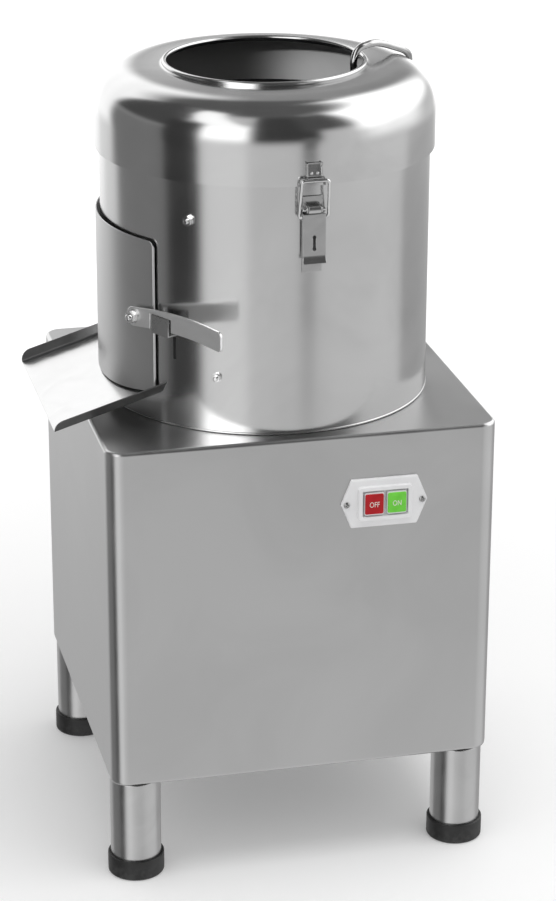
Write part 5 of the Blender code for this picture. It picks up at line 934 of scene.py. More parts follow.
# %% Shape the lid
LID_SHEET = 0.0012
SHOULDER_START = 0.838
SHOULDER_REACH = 0.050
SHOULDER_FULLNESS = 0.85
SHOULDER_STEPS = 28
CROWN_HEIGHT = 0.888
CROWN_LIFT = 0.0004
BEAD_RADIUS = 0.0028
FEED_RADIUS = 0.108
BEAD_CENTRE = (FEED_RADIUS + BEAD_RADIUS, lid_high.z - BEAD_RADIUS)
BEAD_FOOT = 0.003


def shoulder_point(turn, outset=0.0):
    """A point of the shoulder, from the skirt at nought to the crown at a quarter turn."""
    reach = (SHOULDER_REACH + outset) * max(cos(turn), 0.0) ** SHOULDER_FULLNESS
    rise = (CROWN_HEIGHT - SHOULDER_START + outset) * max(sin(turn), 0.0) ** SHOULDER_FULLNESS
    return LID_RADIUS - SHOULDER_REACH + reach, SHOULDER_START + rise


def lid_section():
    quarter = [pi / 2 * i / SHOULDER_STEPS for i in range(SHOULDER_STEPS + 1)]
    outside = [(LID_RADIUS, lid_low.z), *[shoulder_point(turn) for turn in quarter],
               (BEAD_CENTRE[0] + BEAD_RADIUS + BEAD_FOOT, CROWN_HEIGHT + CROWN_LIFT),
               *arc(BEAD_CENTRE, BEAD_RADIUS, -pi / 9, pi + pi / 9, 20)]
    inside = [(BEAD_CENTRE[0], CROWN_HEIGHT - LID_SHEET),
              *[shoulder_point(turn, -LID_SHEET) for turn in reversed(quarter)],
              (LID_RADIUS - LID_SHEET, lid_low.z)]
    return outside + inside


def inside_lid(face):
    return face.normal.dot(from_axis(face.center)) < 0 and face.center.z < CROWN_HEIGHT - LID_SHEET / 2


lid = show("lid_ring", turned(lid_section(), on_axis, DRUM_STEPS), "lid_steel", "lid_shell")
# The lid's inside faces get a rougher steel whose low shade is painted shade for the dim inside of the ring.
second_finish(lid, "satin_inside_painted_shade", inside_lid)
print("Lid faces:", len(lid.data.polygons))

# %% [markdown]
# ## Chute
# The chute is a flat blank with two edges folded up. It is drawn flat, the walls are drawn out of its
# long edges, the folds and the outer corners are rounded, and the whole is tilted with a shear. Last
# it gets its thickness and is trimmed round the drum. The wall faces that look to the front stand in
# shade, which the even light can't give, so they have a darker steel.

# %% Helpers for sheets
def draw_out(shape, edges, way):
    """Extrudes edges along a direction."""
    grown = bmesh.ops.extrude_edge_only(shape, edges=edges)["geom"]
    bmesh.ops.translate(shape, vec=way, verts=[v for v in grown if isinstance(v, bmesh.types.BMVert)])


def slice_across(shape, spot, normal):
    """Cuts the line of a plane into a shape, which stays whole."""
    bmesh.ops.bisect_plane(shape, geom=[*shape.verts, *shape.edges, *shape.faces], plane_co=spot,
                           plane_no=normal)


def thicken(shape, thickness, way):
    """Gives a sheet its thickness, once all its faces look along a direction."""
    bmesh.ops.recalc_face_normals(shape, faces=shape.faces)
    if sum(face.normal.dot(way) for face in shape.faces) < 0:
        bmesh.ops.reverse_faces(shape, faces=shape.faces)
    bmesh.ops.solidify(shape, geom=shape.faces, thickness=thickness)


# %% Shape the chute
CHUTE_HALF_WIDTH = 0.1165
CHUTE_WALL_RISE = 0.011
CHUTE_WALL_LEAN = 0.005
CHUTE_SLOPE = tan(radians(17.1))
CHUTE_SILL = 0.544
CHUTE_LENGTH = 0.078
CHUTE_SHEET = 0.0015
CHUTE_FOLD = 0.0025
CHUTE_CORNER = 0.0095
CHUTE_GAP = 0.0003
SHADED_TILT = -0.4
TRIM_LOW, TRIM_HIGH = 0.4, 0.9


def chute_blank():
    """The folded tray, level, with its floor at height nought."""
    outer, inner = -DRUM_RADIUS - CHUTE_LENGTH, -DRUM_RADIUS / 2
    shape = bmesh.new()
    seat = shift((outer + inner) / 2, 0, 0) @ Matrix.Diagonal(((inner - outer) / 2, CHUTE_HALF_WIDTH, 1, 1))
    bmesh.ops.create_grid(shape, x_segments=1, y_segments=1, size=1, matrix=seat)
    folds = edges_along(shape, X_WAY)
    for fold in folds:
        side = 1 if fold.verts[0].co.y > 0 else -1
        draw_out(shape, [fold], (0, side * CHUTE_WALL_LEAN, CHUTE_WALL_RISE))
    round_off(shape, folds, CHUTE_FOLD, 4)
    corners = [v for v in shape.verts if v.co.z > CHUTE_WALL_RISE * 0.9 and v.co.x < outer + MERGE_DISTANCE]
    round_off(shape, corners, CHUTE_CORNER, 8, "VERTICES")
    return shape


def chute_shape():
    shape = chute_blank()
    for point in shape.verts:
        point.co.z += CHUTE_SILL + (point.co.x + DRUM_RADIUS) * CHUTE_SLOPE
    thicken(shape, CHUTE_SHEET, Z_WAY)
    bmesh.ops.translate(shape, vec=axis, verts=shape.verts)
    return cut(shape, rod(DRUM_RADIUS + CHUTE_GAP, TRIM_LOW, TRIM_HIGH, on_axis, DRUM_STEPS))


chute = show("chute_tray", chute_shape(), "pressed_steel", "discharge_chute", edge=0.0003)
second_finish(chute, "shaded_steel", lambda face: face.normal.y < SHADED_TILT)

# %% [markdown]
# ## Door
# The door is a sheet rolled to the drum's curve. A flat blank with rounded top corners is sliced into
# strips and rolled, so that it stays smooth. Its foot follows the chute's slope, which is a plane
# cut, and steps up where it passes over the far wall of the chute.

# %% Shape the door
DOOR_STANDOFF = 0.0035
DOOR_SHEET = 0.0015
DOOR_HALF_ANGLE = radians(37.2)
DOOR_CORNER = 0.007
DOOR_CLEARANCE = 0.002
DOOR_STRIPS = 62
DOOR_HEM = 0.0008
DOOR_HEM_DEPTH = 0.0013
DOOR_STEP_PLACE = 0.0685
BLANK_FOOT_DROP = 0.02
door_radius = DRUM_RADIUS + DOOR_STANDOFF
door_low, door_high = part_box("discharge_door")


def upright_sheet(x, z, half_width, half_height):
    """A flat rectangle in the XZ plane, round a middle."""
    shape = bmesh.new()
    seat = shift(x, 0, z) @ Z_OUTWARDS @ Matrix.Diagonal((half_width, half_height, 1, 1))
    bmesh.ops.create_grid(shape, x_segments=1, y_segments=1, size=1, matrix=seat)
    return shape


def door_blank():
    """The flat blank: X is the way round the drum, Z is up."""
    half = door_radius * DOOR_HALF_ANGLE
    top, foot = door_high.z, CHUTE_SILL - BLANK_FOOT_DROP
    shape = upright_sheet(0, (top + foot) / 2, half, (top - foot) / 2)
    corners = [point for point in shape.verts if point.co.z > (top + foot) / 2]
    round_off(shape, corners, DOOR_CORNER, 6, "VERTICES")
    cuts = [-half + 2 * half * i / DOOR_STRIPS for i in range(1, DOOR_STRIPS)]
    for place in cuts + [half - DOOR_HEM * i / 4 for i in range(1, 5)]:
        slice_across(shape, (place, 0, 0), X_WAY)
    return shape


def cut_below(shape, rise, beyond):
    """Clears what lies under the chute's slope, raised by a height, from a distance to the rear on."""
    origin = axis + Vector((-DRUM_RADIUS, 0, CHUTE_SILL + rise))
    normal = Vector((-CHUTE_SLOPE, 0, 1))
    faces = [face for face in shape.faces if face.calc_center_median().y > beyond]
    rims = {edge for face in faces for edge in face.edges}
    points = {point for face in faces for point in face.verts}
    bmesh.ops.bisect_plane(shape, geom=[*points, *rims, *faces], plane_co=origin, plane_no=normal)
    centres = [(face, face.calc_center_median()) for face in shape.faces]
    under = [face for face, spot in centres if spot.y > beyond and (spot - origin).dot(normal) < 0]
    bmesh.ops.delete(shape, geom=under, context="FACES")


def door_shape():
    shape = door_blank()
    edge = door_radius * DOOR_HALF_ANGLE
    for point in shape.verts:
        angle = pi + point.co.x / door_radius
        share = max(0.0, 1 - (edge - point.co.x) / DOOR_HEM)
        point.co = at_radius(door_radius - DOOR_HEM_DEPTH * share ** 2, angle, point.co.z)
    cut_below(shape, DOOR_CLEARANCE, axis.y - DRUM_RADIUS)
    step = axis.y + DOOR_STEP_PLACE
    slice_across(shape, (0, step, 0), Y_WAY)
    cut_below(shape, CHUTE_WALL_RISE + DOOR_CLEARANCE, step)
    thicken(shape, -DOOR_SHEET, -X_WAY)
    return shape


# %% Add the door's eye
EYE_ANGLE = radians(141.4)
EYE_HALF = 0.030
EYE_RADIUS = 0.005
EYE_BORE = 0.0029
BORE_OVERRUN = 0.01
TONGUE_WIDTH = 0.010
TONGUE_LAP = 0.0004
LEVER_BOLT_HOLE = 0.0044


def door_eye():
    """The rolled eye at the far edge, with the tongue that joins it to the door, and its bore."""
    hinge = middle("door_hinge_pin")
    tongue = block((0, -hypot(hinge.x - axis.x, hinge.y - axis.y), hinge.z - EYE_HALF),
                   (TONGUE_WIDTH, -door_radius - TONGUE_LAP, hinge.z + EYE_HALF), station(EYE_ANGLE))
    seat = Matrix.Translation(hinge)
    bore = rod(EYE_BORE, -EYE_HALF - BORE_OVERRUN, EYE_HALF + BORE_OVERRUN, seat, 24)
    return tongue, rod(EYE_RADIUS, -EYE_HALF, EYE_HALF, seat, 32), bore


tongue, eye, bore = door_eye()
whole_door = cut(united(door_shape(), tongue, eye), bore, bolt_hole("door_pivot_bolt", LEVER_BOLT_HOLE))
door = show("door_plate", whole_door, "cabinet_steel", "discharge_door", edge=0.0003)
print("Door heights in mm:", mm(*heights(door)), "CAD", mm(door_low.z, door_high.z))

# %% [markdown]
# ## Lever
# The door's lever is a flat bar, sawn to a soft curve, round at the bolt and with small rounds at
# the tip. Like the door it starts as one flat blank whose corners are rounded and which is sliced
# into strips, so that the curve comes out smooth. A notch underneath lets it drop over the catch.

# %% Shape the lever
LEVER_ANGLE = radians(-150)
LEVER_LENGTH = 0.141
LEVER_HALF = 0.011
LEVER_THICKNESS = 0.003
LEVER_CAMBER = 0.0075
LEVER_TURN = radians(145)
LEVER_TIP = 0.005
LEVER_STRIPS = 48
NOTCH_START, NOTCH_END = 0.0275, 0.0615
NOTCH_FOOT, NOTCH_TOP = 0.60, 0.6493
LEVER_STANDOFF = 0.0085
lever_back = DRUM_RADIUS + LEVER_STANDOFF
lever_height = middle("door_pivot_bolt").z


def lever_blank():
    """The bar's outline in the XZ plane, with the bolt at the origin."""
    shape = upright_sheet((LEVER_LENGTH - LEVER_HALF) / 2, 0, (LEVER_LENGTH + LEVER_HALF) / 2, LEVER_HALF)
    for side, width in ((1, LEVER_TIP), (-1, LEVER_HALF * 0.999)):
        corners = [point for point in shape.verts if point.co.x * side > 0]
        round_off(shape, corners, width, 10, "VERTICES")
    for i in range(LEVER_STRIPS):
        slice_across(shape, (LEVER_LENGTH * i / LEVER_STRIPS, 0, 0), X_WAY)
    for point in shape.verts:
        point.co.z += LEVER_CAMBER * sin(LEVER_TURN * max(point.co.x, 0) / LEVER_LENGTH)
    return shape


def lever_shape():
    shape = lever_blank()
    thicken(shape, LEVER_THICKNESS, Y_WAY)
    low = min(point.co.y for point in shape.verts)
    place = station(LEVER_ANGLE) @ shift(0, -lever_back - LEVER_THICKNESS - low, lever_height)
    bmesh.ops.transform(shape, matrix=place, verts=shape.verts)
    notch = block((NOTCH_START, -lever_back - OVERRUN, NOTCH_FOOT),
                  (NOTCH_END, -lever_back + OVERRUN, NOTCH_TOP), station(LEVER_ANGLE))
    hole = rod(LEVER_BOLT_HOLE, -OVERRUN, OVERRUN, outward(LEVER_ANGLE, lever_back, lever_height), 32)
    return cut(shape, notch, hole)


# The lever's steel is painted light: a lighter base colour stands in for the light it catches.
lever = show("lever_blade", lever_shape(), "lever_painted_light_steel", "door_lever", edge=0.0006, segments=3)

# %% [markdown]
# ## Toggle latch
# The latch's parts are bent from thin sheet. A profile is drawn across the bend, drawn out to the
# part's width and given its thickness, and then the barrel, the flanges and the holes are added.

# %% Helpers for the latch
LATCH_ANGLE = radians(-87.3)
LATCH_SHEET = 0.0012
latch_place = station(LATCH_ANGLE)


def bent_sheet(profile, width, thickness, fold):
    """A sheet bent along a profile of (distance out, height) points; it grows inwards."""
    shape = bmesh.new()
    points = [shape.verts.new((-width / 2, -out, height)) for out, height in profile]
    draw_out(shape, [shape.edges.new(pair) for pair in zip(points, points[1:])], (width, 0, 0))
    inner = [edge for edge in edges_along(shape, X_WAY) if len(edge.link_faces) == 2]
    round_off(shape, inner, fold, 4)
    thicken(shape, thickness, -Y_WAY)
    bmesh.ops.transform(shape, matrix=latch_place, verts=shape.verts)
    return shape


def latch_block(sides, outs, levels):
    """A block between two places to the side, two distances out from the axis and two heights."""
    return block((sides[0], -outs[0], levels[0]), (sides[1], -outs[1], levels[1]), latch_place)


def sideways_rod(radius, half, out, height, sides):
    """A rod that runs level, along the drum's wall."""
    return rod(radius, -half, half, latch_place @ shift(0, -out, height) @ Z_SIDEWAYS, sides)


def both_sides(half, thickness):
    """Where the left and the right flange of a part begin and end."""
    return [sorted((side * half, side * (half - thickness))) for side in (-1, 1)]


# %% Shape the toggle's lever
PIVOT_OUT, PIVOT_HEIGHT = DRUM_RADIUS + 0.0078, 0.775
PLATE_WIDTH = 0.025
PLATE_OUT = DRUM_RADIUS + 0.0098
PLATE_HEAD = 0.770
PLATE_FOOT = 0.7165
PLATE_BEND = PLATE_FOOT + 0.0062
PLATE_FLARE = 0.0032
PLATE_FOLD = 0.002
FLANGE_FOOT = PLATE_FOOT + 0.006
FLANGE_OUTS = (PLATE_OUT - 0.0003, PLATE_OUT - 0.0064)
NECK_OUTS = (PLATE_OUT, PLATE_OUT - 0.003)
NECK_LEVELS = (PLATE_HEAD - 0.002, PIVOT_HEIGHT)
BARREL_HALF = 0.0068
BARREL_RADIUS = 0.0048
WIRE_OUT, WIRE_HEIGHT = DRUM_RADIUS + 0.0062, PIVOT_HEIGHT - 0.009
PIN_BORE, WIRE_BORE = 0.0020, 0.00215
KEYHOLE_RADIUS, KEYHOLE_HALF = 0.0022, 0.0015
KEYHOLE_HEIGHTS = (PLATE_FOOT + 0.0157, PLATE_FOOT + 0.0283)
KEYHOLE_LEVELS = (PLATE_FOOT + 0.0155, PLATE_FOOT + 0.0285)
KEYHOLE_DEPTH = 0.005


def toggle_lever():
    profile = [(PLATE_OUT, PLATE_HEAD), (PLATE_OUT, PLATE_BEND), (PLATE_OUT + PLATE_FLARE, PLATE_FOOT)]
    plate = bent_sheet(profile, PLATE_WIDTH, LATCH_SHEET, PLATE_FOLD)
    flanges = [latch_block(sides, FLANGE_OUTS, (FLANGE_FOOT, PLATE_HEAD))
               for sides in both_sides(PLATE_WIDTH / 2, LATCH_SHEET)]
    barrel = sideways_rod(BARREL_RADIUS, BARREL_HALF, PIVOT_OUT, PIVOT_HEIGHT, 40)
    neck = latch_block((-BARREL_HALF, BARREL_HALF), NECK_OUTS, NECK_LEVELS)
    bores = [sideways_rod(PIN_BORE, OVERRUN * 2, PIVOT_OUT, PIVOT_HEIGHT, 24),
             sideways_rod(WIRE_BORE, OVERRUN * 2, WIRE_OUT, WIRE_HEIGHT, 24)]
    keyhole = [rod(KEYHOLE_RADIUS, -KEYHOLE_DEPTH, KEYHOLE_DEPTH, outward(LATCH_ANGLE, PLATE_OUT, height), 24)
               for height in KEYHOLE_HEIGHTS]
    keyhole.append(latch_block((-KEYHOLE_HALF, KEYHOLE_HALF),
                               (PLATE_OUT + KEYHOLE_DEPTH, PLATE_OUT - KEYHOLE_DEPTH), KEYHOLE_LEVELS))
    return cut(united(plate, *flanges, barrel, neck), *bores, *keyhole)


show("toggle_lever", toggle_lever(), "pressed_steel", "latch_lever", edge=0.0003)
eased("toggle_base", "latch_base", "pressed_steel")
print("Toggle's pivot height in mm:", mm(PIVOT_HEIGHT))

# %% [markdown]
# The keeper on the lid is a leaning strip with turned-up sides, two dimples where it is spot welded,
# and a hook at its foot. The dimples are flattened spheres, united with the strip.

# %% Shape the keeper
KEEPER_WIDTH = 0.0175
KEEPER_TOP, KEEPER_FOOT = 0.8255, 0.805
KEEPER_SHEET = 0.0010
KEEPER_RIB = 0.0013
DIMPLE_RADIUS = 0.0014
DIMPLE_PLACE, DIMPLE_OUT, DIMPLE_RISE = 0.0032, 0.0030, 0.0093
KEEPER_FOLD = 0.0007
KEEPER_GAP = 0.0003
keeper_back = LID_RADIUS + KEEPER_GAP
RIB_OUTS = (keeper_back + 0.0044, keeper_back + 0.0001)
RIB_LEVELS = (KEEPER_FOOT + 0.0058, KEEPER_TOP)
# distances out from the keeper's back, and heights
KEEPER_PROFILE = ((0.0012, KEEPER_TOP), (0.0012, KEEPER_TOP - 0.0015), (0.0038, KEEPER_FOOT + 0.0066),
                  (0.0038, KEEPER_FOOT + 0.0006), (0.0056, KEEPER_FOOT + 0.0006),
                  (0.0056, KEEPER_FOOT + 0.0052))


def dimple(side):
    shape = bmesh.new()
    spot = latch_place @ shift(side * DIMPLE_PLACE, -keeper_back - DIMPLE_OUT, KEEPER_FOOT + DIMPLE_RISE)
    bmesh.ops.create_uvsphere(shape, u_segments=20, v_segments=12, radius=DIMPLE_RADIUS,
                              matrix=spot @ Matrix.Diagonal((1, 0.8, 1.3, 1)))
    return shape


def keeper_shape():
    strip = bent_sheet([(keeper_back + out, height) for out, height in KEEPER_PROFILE], KEEPER_WIDTH,
                       KEEPER_SHEET, KEEPER_FOLD)
    parts = []
    for side, sides in zip((-1, 1), both_sides(KEEPER_WIDTH / 2, KEEPER_RIB)):
        parts += [latch_block(sides, RIB_OUTS, RIB_LEVELS), dimple(side)]
    return united(strip, *parts)


show("keeper_hook", keeper_shape(), "pressed_steel", "latch_keeper", edge=0.0002)
print("Keeper width in mm:", mm(KEEPER_WIDTH))

# %% [markdown]
# ## Catch, hinges and shelf
# The catch, the hinge brackets, the leaf and the motor's shelf are plain folded parts, whose CAD
# solids already have the right outline. Copies with rounded edges are all they need.

# %% Ease the folded parts
FOLDED_PARTS = {
    "catch_tongue": ("door_catch", "dull_plate"),
    "door_bracket": ("door_hinge_bracket", "pressed_steel"),
    "door_pin": ("door_hinge_pin", "pressed_steel"),
    "lid_bracket": ("lid_hinge_bracket", "pressed_steel"),
    "lid_leaf": ("lid_hinge_leaf", "pressed_steel"),
    "motor_shelf": ("motor_mount_plate", "pressed_steel"),
}
for name, (node, finish) in FOLDED_PARTS.items():
    eased(name, node, finish)
print("Folded parts:", len(FOLDED_PARTS))

# %% [markdown]
# ## Wire bail and water pipe
# Bent wire and pipe are drawn as a curve with a round section, turned into a mesh. The wire is
# straight between tight bends, so its corners are replaced by short arcs. The pipe is one flowing
# line, and gets the automatic handles of a Bezier curve.

# %% Helpers for wire and pipe
def mesh_of(name, data):
    """The mesh of a curve or a text, which is then taken away."""
    drawn = new_object(name, data)
    bpy.context.view_layer.update()
    mesh = bpy.data.meshes.new_from_object(drawn.evaluated_get(bpy.context.evaluated_depsgraph_get()))
    bpy.data.objects.remove(drawn)
    bpy.data.curves.remove(data)
    return mesh


def rounded_route(corners, radius, steps=6):
    """The points of a line whose inner corners are arcs."""
    route = [corners[0]]
    for before, corner, after in zip(corners, corners[1:], corners[2:]):
        come = (corner - before).normalized()
        go = (after - corner).normalized()
        reach = radius * tan(come.angle(go) / 2)
        start, end = corner - come * reach, corner + go * reach
        for i in range(steps + 1):
            share = i / steps
            route.append(start.lerp(corner, share).lerp(corner.lerp(end, share), share))
    return route + [corners[-1]]


def bent(points, radius, bore=0.0):
    """A solid round wire with straight stretches, or a flowing tube with a bore, along points."""
    path = bpy.data.curves.new("path", "CURVE")
    path.dimensions = "3D"
    path.resolution_u = 8
    line = path.splines.new("BEZIER" if bore else "POLY")
    if bore:
        line.bezier_points.add(len(points) - 1)
        for knot, point in zip(line.bezier_points, points):
            knot.co = point
            knot.handle_left_type = knot.handle_right_type = "AUTO"
    else:
        line.points.add(len(points) - 1)
        for knot, point in zip(line.points, points):
            knot.co = (*point, 1)
    path.bevel_depth = radius
    path.bevel_resolution = 6
    path.use_fill_caps = not bore
    mesh = mesh_of("path", path)
    shape = bmesh.new()
    shape.from_mesh(mesh)
    bpy.data.meshes.remove(mesh)
    bmesh.ops.remove_doubles(shape, verts=shape.verts, dist=MERGE_DISTANCE)
    bmesh.ops.recalc_face_normals(shape, faces=shape.faces)
    if bore:
        bmesh.ops.solidify(shape, geom=shape.faces, thickness=radius - bore)
    return shape


# %% Bend the bail
BAIL_WIRE = 0.00175
BAIL_CORNER = 0.0035
HOOK_OUT, HOOK_GAP = 0.0050, 0.0003
BAIL_END, BAIL_BEND, BAIL_TOP = 0.0103, 0.0165, 0.0150
BAIL_FOOT, BAIL_BAR = 0.766, 0.8072
bail_bar_y = -(LID_RADIUS + KEEPER_GAP + HOOK_OUT + HOOK_GAP + BAIL_WIRE)
bail_half = [Vector((BAIL_END, -WIRE_OUT, BAIL_FOOT)), Vector((BAIL_BEND, -WIRE_OUT, BAIL_FOOT)),
             Vector((BAIL_TOP, bail_bar_y, BAIL_BAR))]
bail_corners = bail_half + [Vector((-p.x, p.y, p.z)) for p in reversed(bail_half)]
bail_route = [latch_place @ p for p in rounded_route(bail_corners, BAIL_CORNER)]
show("wire_bail", bent(bail_route, BAIL_WIRE), "bright_plate", "latch_bail")
print("Bail points:", len(bail_route))

# %% [markdown]
# The pipe rises inside the feed opening, arches over the bead, and then runs down outside the lid at
# an even distance from the shoulder, to the strap that holds it.

# %% Bend the water pipe over the rim
PIPE_RADIUS = 0.0040
PIPE_BORE = 0.0028
PIPE_GAP = 0.0052
PIPE_TIP = radians(-4)
PIPE_TAIL = radians(22)
ARCH_REACH, ARCH_RISE = 0.040, 0.012
# outwards, upwards, way round, in shares of the arch
PIPE_ARCH = ((-0.20, -3.2, 0.0), (-0.20, -1.7, 0.0), (-0.19, -0.4, 0.03), (-0.04, 0.45, 0.09),
             (0.18, 0.68, 0.16), (0.43, 0.76, 0.23), (0.71, 0.55, 0.33), (1.0, 0.20, 0.42))
# way down the shoulder, way round
PIPE_DOWN = ((0.42, 0.60), (0.62, 0.75), (0.82, 0.90))
PIPE_FEET = (0.8328, 0.827, 0.817, 0.778)


def pipe_angle(turn):
    return PIPE_TIP + (PIPE_TAIL - PIPE_TIP) * turn


pipe_points = [at_radius(FEED_RADIUS + ARCH_REACH * out, pipe_angle(turn), lid_high.z + ARCH_RISE * up)
               for out, up, turn in PIPE_ARCH]
for down, turn in PIPE_DOWN:
    radius, height = shoulder_point(pi / 2 * (1 - down), PIPE_GAP)
    pipe_points.append(at_radius(radius, pipe_angle(turn), height))
pipe_points += [at_radius(LID_RADIUS + PIPE_GAP, PIPE_TAIL, height) for height in PIPE_FEET]
show("spray_pipe", bent(pipe_points, PIPE_RADIUS, PIPE_BORE), "pipe_steel", "water_pipe")
eased("pipe_strap", "pipe_clip", "bright_plate", edge=0.0002)
print("Pipe points:", len(pipe_points))

# %% [markdown]
# ## Switch
# The switch is a moulded plate with a raised frame, a sunk well, and two push buttons. Each button
# is a coloured cap in a pale rim, with round corners and a soft edge. The words on them are generic:
# they are text, thickened a little and set on the caps, which they move with.

# %% Shape the switch plate and the buttons
CAP_DEPTH = 0.0035
CAP_STEP = 0.0012
CAP_RIM = Vector((0.0005, 0, 0.0013))
CAP_EDGE = 0.0009
RIM_CORNER, CAP_CORNER = 0.0022, 0.0018
STEM_HALF = 0.005
STEM_LAP = 0.001

eased("switch_cover", "switch_plate", "white_moulding", edge=0.0009, segments=3)
case = eased("switch_case", "switch_body", "black_moulding", edge=0.0006)
second_finish(case, "white_moulding", lambda face: face.normal.y < -0.5)


def button_shape(node):
    """A pale rim with the coloured cap in it, on the stem of the CAD's button."""
    low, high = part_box(node)
    cap_back = low.y + CAP_DEPTH
    rim = block((low.x, low.y + CAP_STEP, low.z), (high.x, cap_back, high.z))
    round_off(rim, edges_along(rim, Y_WAY), RIM_CORNER, 6)
    cap = block(low + CAP_RIM, Vector((high.x, cap_back, high.z)) - CAP_RIM)
    round_off(cap, edges_along(cap, Y_WAY), CAP_CORNER, 6)
    round_off(cap, edges_where(cap, lambda spot: abs(spot.y - low.y) < MERGE_DISTANCE), CAP_EDGE, 4)
    spot = middle(node)
    stem = block((spot.x - STEM_HALF, cap_back - STEM_LAP, spot.z - STEM_HALF),
                 (spot.x + STEM_HALF, high.y, spot.z + STEM_HALF))
    return united(rim, cap, stem)


for name, node, finish in (("off_cap", "off_button", "red_moulding"),
                           ("on_cap", "on_button", "green_moulding")):
    button = show(name, button_shape(node), finish, node)
    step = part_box(node)[0].y + CAP_STEP - MERGE_DISTANCE
    second_finish(button, "white_moulding", lambda face: face.center.y > step)

# %% Letter the buttons
LETTER_HEIGHT = 0.0062
CAPITAL_SHARE = 0.70
LETTER_SQUEEZE = 0.74
LETTER_THICKNESS = 0.00012
LETTER_DROP = 0.0008


def letters(word, node):
    """Raised letters on a button's face."""
    name = word.lower() + "_letters"
    text = bpy.data.curves.new(name, "FONT")
    text.body = word
    text.align_x = "CENTER"
    text.align_y = "CENTER"
    text.size = LETTER_HEIGHT / CAPITAL_SHARE
    text.extrude = LETTER_THICKNESS
    mesh = mesh_of("letters", text)
    low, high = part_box(node)
    spot = shift((low.x + high.x) / 2, low.y, (low.z + high.z) / 2 - LETTER_DROP)
    mesh.transform(spot @ Z_OUTWARDS @ Matrix.Diagonal((LETTER_SQUEEZE, 1, 1, 1)))
    mesh.materials.clear()
    mesh.materials.append(bpy.data.materials["letter_white"])
    made = new_object(name, mesh)
    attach(made, body_of[node])
    return made


print("Letters:", [letters(word, node).name for word, node in (("OFF", "off_button"), ("ON", "on_button"))])

# %% [markdown]
# ## Screws and bolts
# The panel and switch screws are pan heads with a cross recess, spun and cut with two thin blocks.
# The bolts at the lever and the lining are a washer, a hexagon nut and a rounded end, united.

# %% Shape the screws
HEAD_RISE = 0.0020
HEAD_EDGE = 0.0003
DOME_FOOT = 0.0004
SHANK_RADIUS = 0.0018
RECESS_SHORT, RECESS_LONG = 0.00045, 0.00215
RECESS_DEPTH, RECESS_OVERRUN = 0.0011, 0.001
RECESS_TURN = radians(25)


def pan_screw(node, outward_y):
    """A cross-recessed pan head that faces along plus or minus Y."""
    low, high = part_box(node)
    spot = middle(node)
    head = (high.x - low.x) / 2
    face = low.y if outward_y < 0 else high.y
    length = high.y - low.y - HEAD_RISE
    section = [(0, -length), (SHANK_RADIUS, -length), (SHANK_RADIUS, 0), (head - HEAD_EDGE, 0),
               (head, HEAD_EDGE)]
    quarter = [pi / 2 * i / 8 for i in range(9)]
    section += [(head * cos(turn), DOME_FOOT + (HEAD_RISE - DOME_FOOT) * sin(turn)) for turn in quarter]
    place = (shift(spot.x, face - outward_y * HEAD_RISE, spot.z)
             @ Matrix.Rotation(-outward_y * pi / 2, 4, "X"))
    twist = place @ Matrix.Rotation(RECESS_TURN, 4, "Z")
    arms = [block((-x, -y, HEAD_RISE - RECESS_DEPTH), (x, y, HEAD_RISE + RECESS_OVERRUN), twist)
            for x, y in ((RECESS_SHORT, RECESS_LONG), (RECESS_LONG, RECESS_SHORT))]
    return cut(turned(section, place, steps=32, closed=False), *arms)


for side in ("left", "right"):
    for name, node, outward_y, finish in (("front_screw_", "switch_screw_", -1, "screw_steel"),
                                          ("rear_screw_", "rear_panel_screw_", 1, "bright_plate")):
        show(name + side, pan_screw(node + side, outward_y), finish, node + side)
for name, node in (("toggle_pin", "latch_pin"), ("lid_pin", "lid_hinge_pin")):
    eased(name, node, "bright_plate")
print("Screw head's height in mm:", mm(HEAD_RISE))

# %% Shape the bolts
BOLT_GAP = 0.0003
# nut's radius and height, radius and reach of the bolt's end, washer, depth behind it
LEVER_BOLT = (0.0070, 0.0048, 0.0036, 0.0030, 0.0012, 0.0120)
LINING_BOLT = (0.0038, 0.0027, 0.0030, 0.0008, 0.0040)


def nut(place, radius, height, stud_radius, stud, washer, back):
    """A washer, a hexagon nut and the bolt's round end, with the bolt behind them."""
    to_place = place.inverted()
    hexagon = rod(radius, washer, washer + height, place, 6)
    top = edges_where(hexagon, lambda spot: (to_place @ spot).z > washer + height / 2)
    round_off(hexagon, top, radius * 0.10, 2)
    round_off(hexagon, edges_along(hexagon, place.to_3x3() @ Z_WAY), radius * 0.05, 2)
    end = rod(stud_radius, -back, washer + height + stud, place, 32)
    tip = edges_where(end, lambda spot: (to_place @ spot).z > washer + height)
    round_off(end, tip, stud_radius * 0.45, 4)
    return united(end, hexagon, rod(radius * 1.09, 0, washer, place, 48))


bolt_seat = outward(LEVER_ANGLE, lever_back + LEVER_THICKNESS + BOLT_GAP, lever_height)
show("lever_bolt", nut(bolt_seat, *LEVER_BOLT), "bolt_steel", "door_pivot_bolt")
for name, node, radius in (("upper_lining_bolt", "liner_bolt_upper", 0.0056),
                           ("lower_lining_bolt", "liner_bolt_lower", 0.0048)):
    spot = middle(node)
    bolt_seat = outward(bearing(spot), DRUM_RADIUS + BOLT_GAP, spot.z)
    show(name, nut(bolt_seat, radius, *LINING_BOLT), "bolt_steel", node)
print("Lever's bolt height in mm:", mm(lever_height))

# %% [markdown]
# ## Disc and knob
# The disc's top is coated with grit and waves up and down four times round, which tumbles the
# potatoes. It is spun with enough rings for the wave to show, then lifted by a sine that grows
# towards the rim. Two bars below it sweep the peel to the drain.

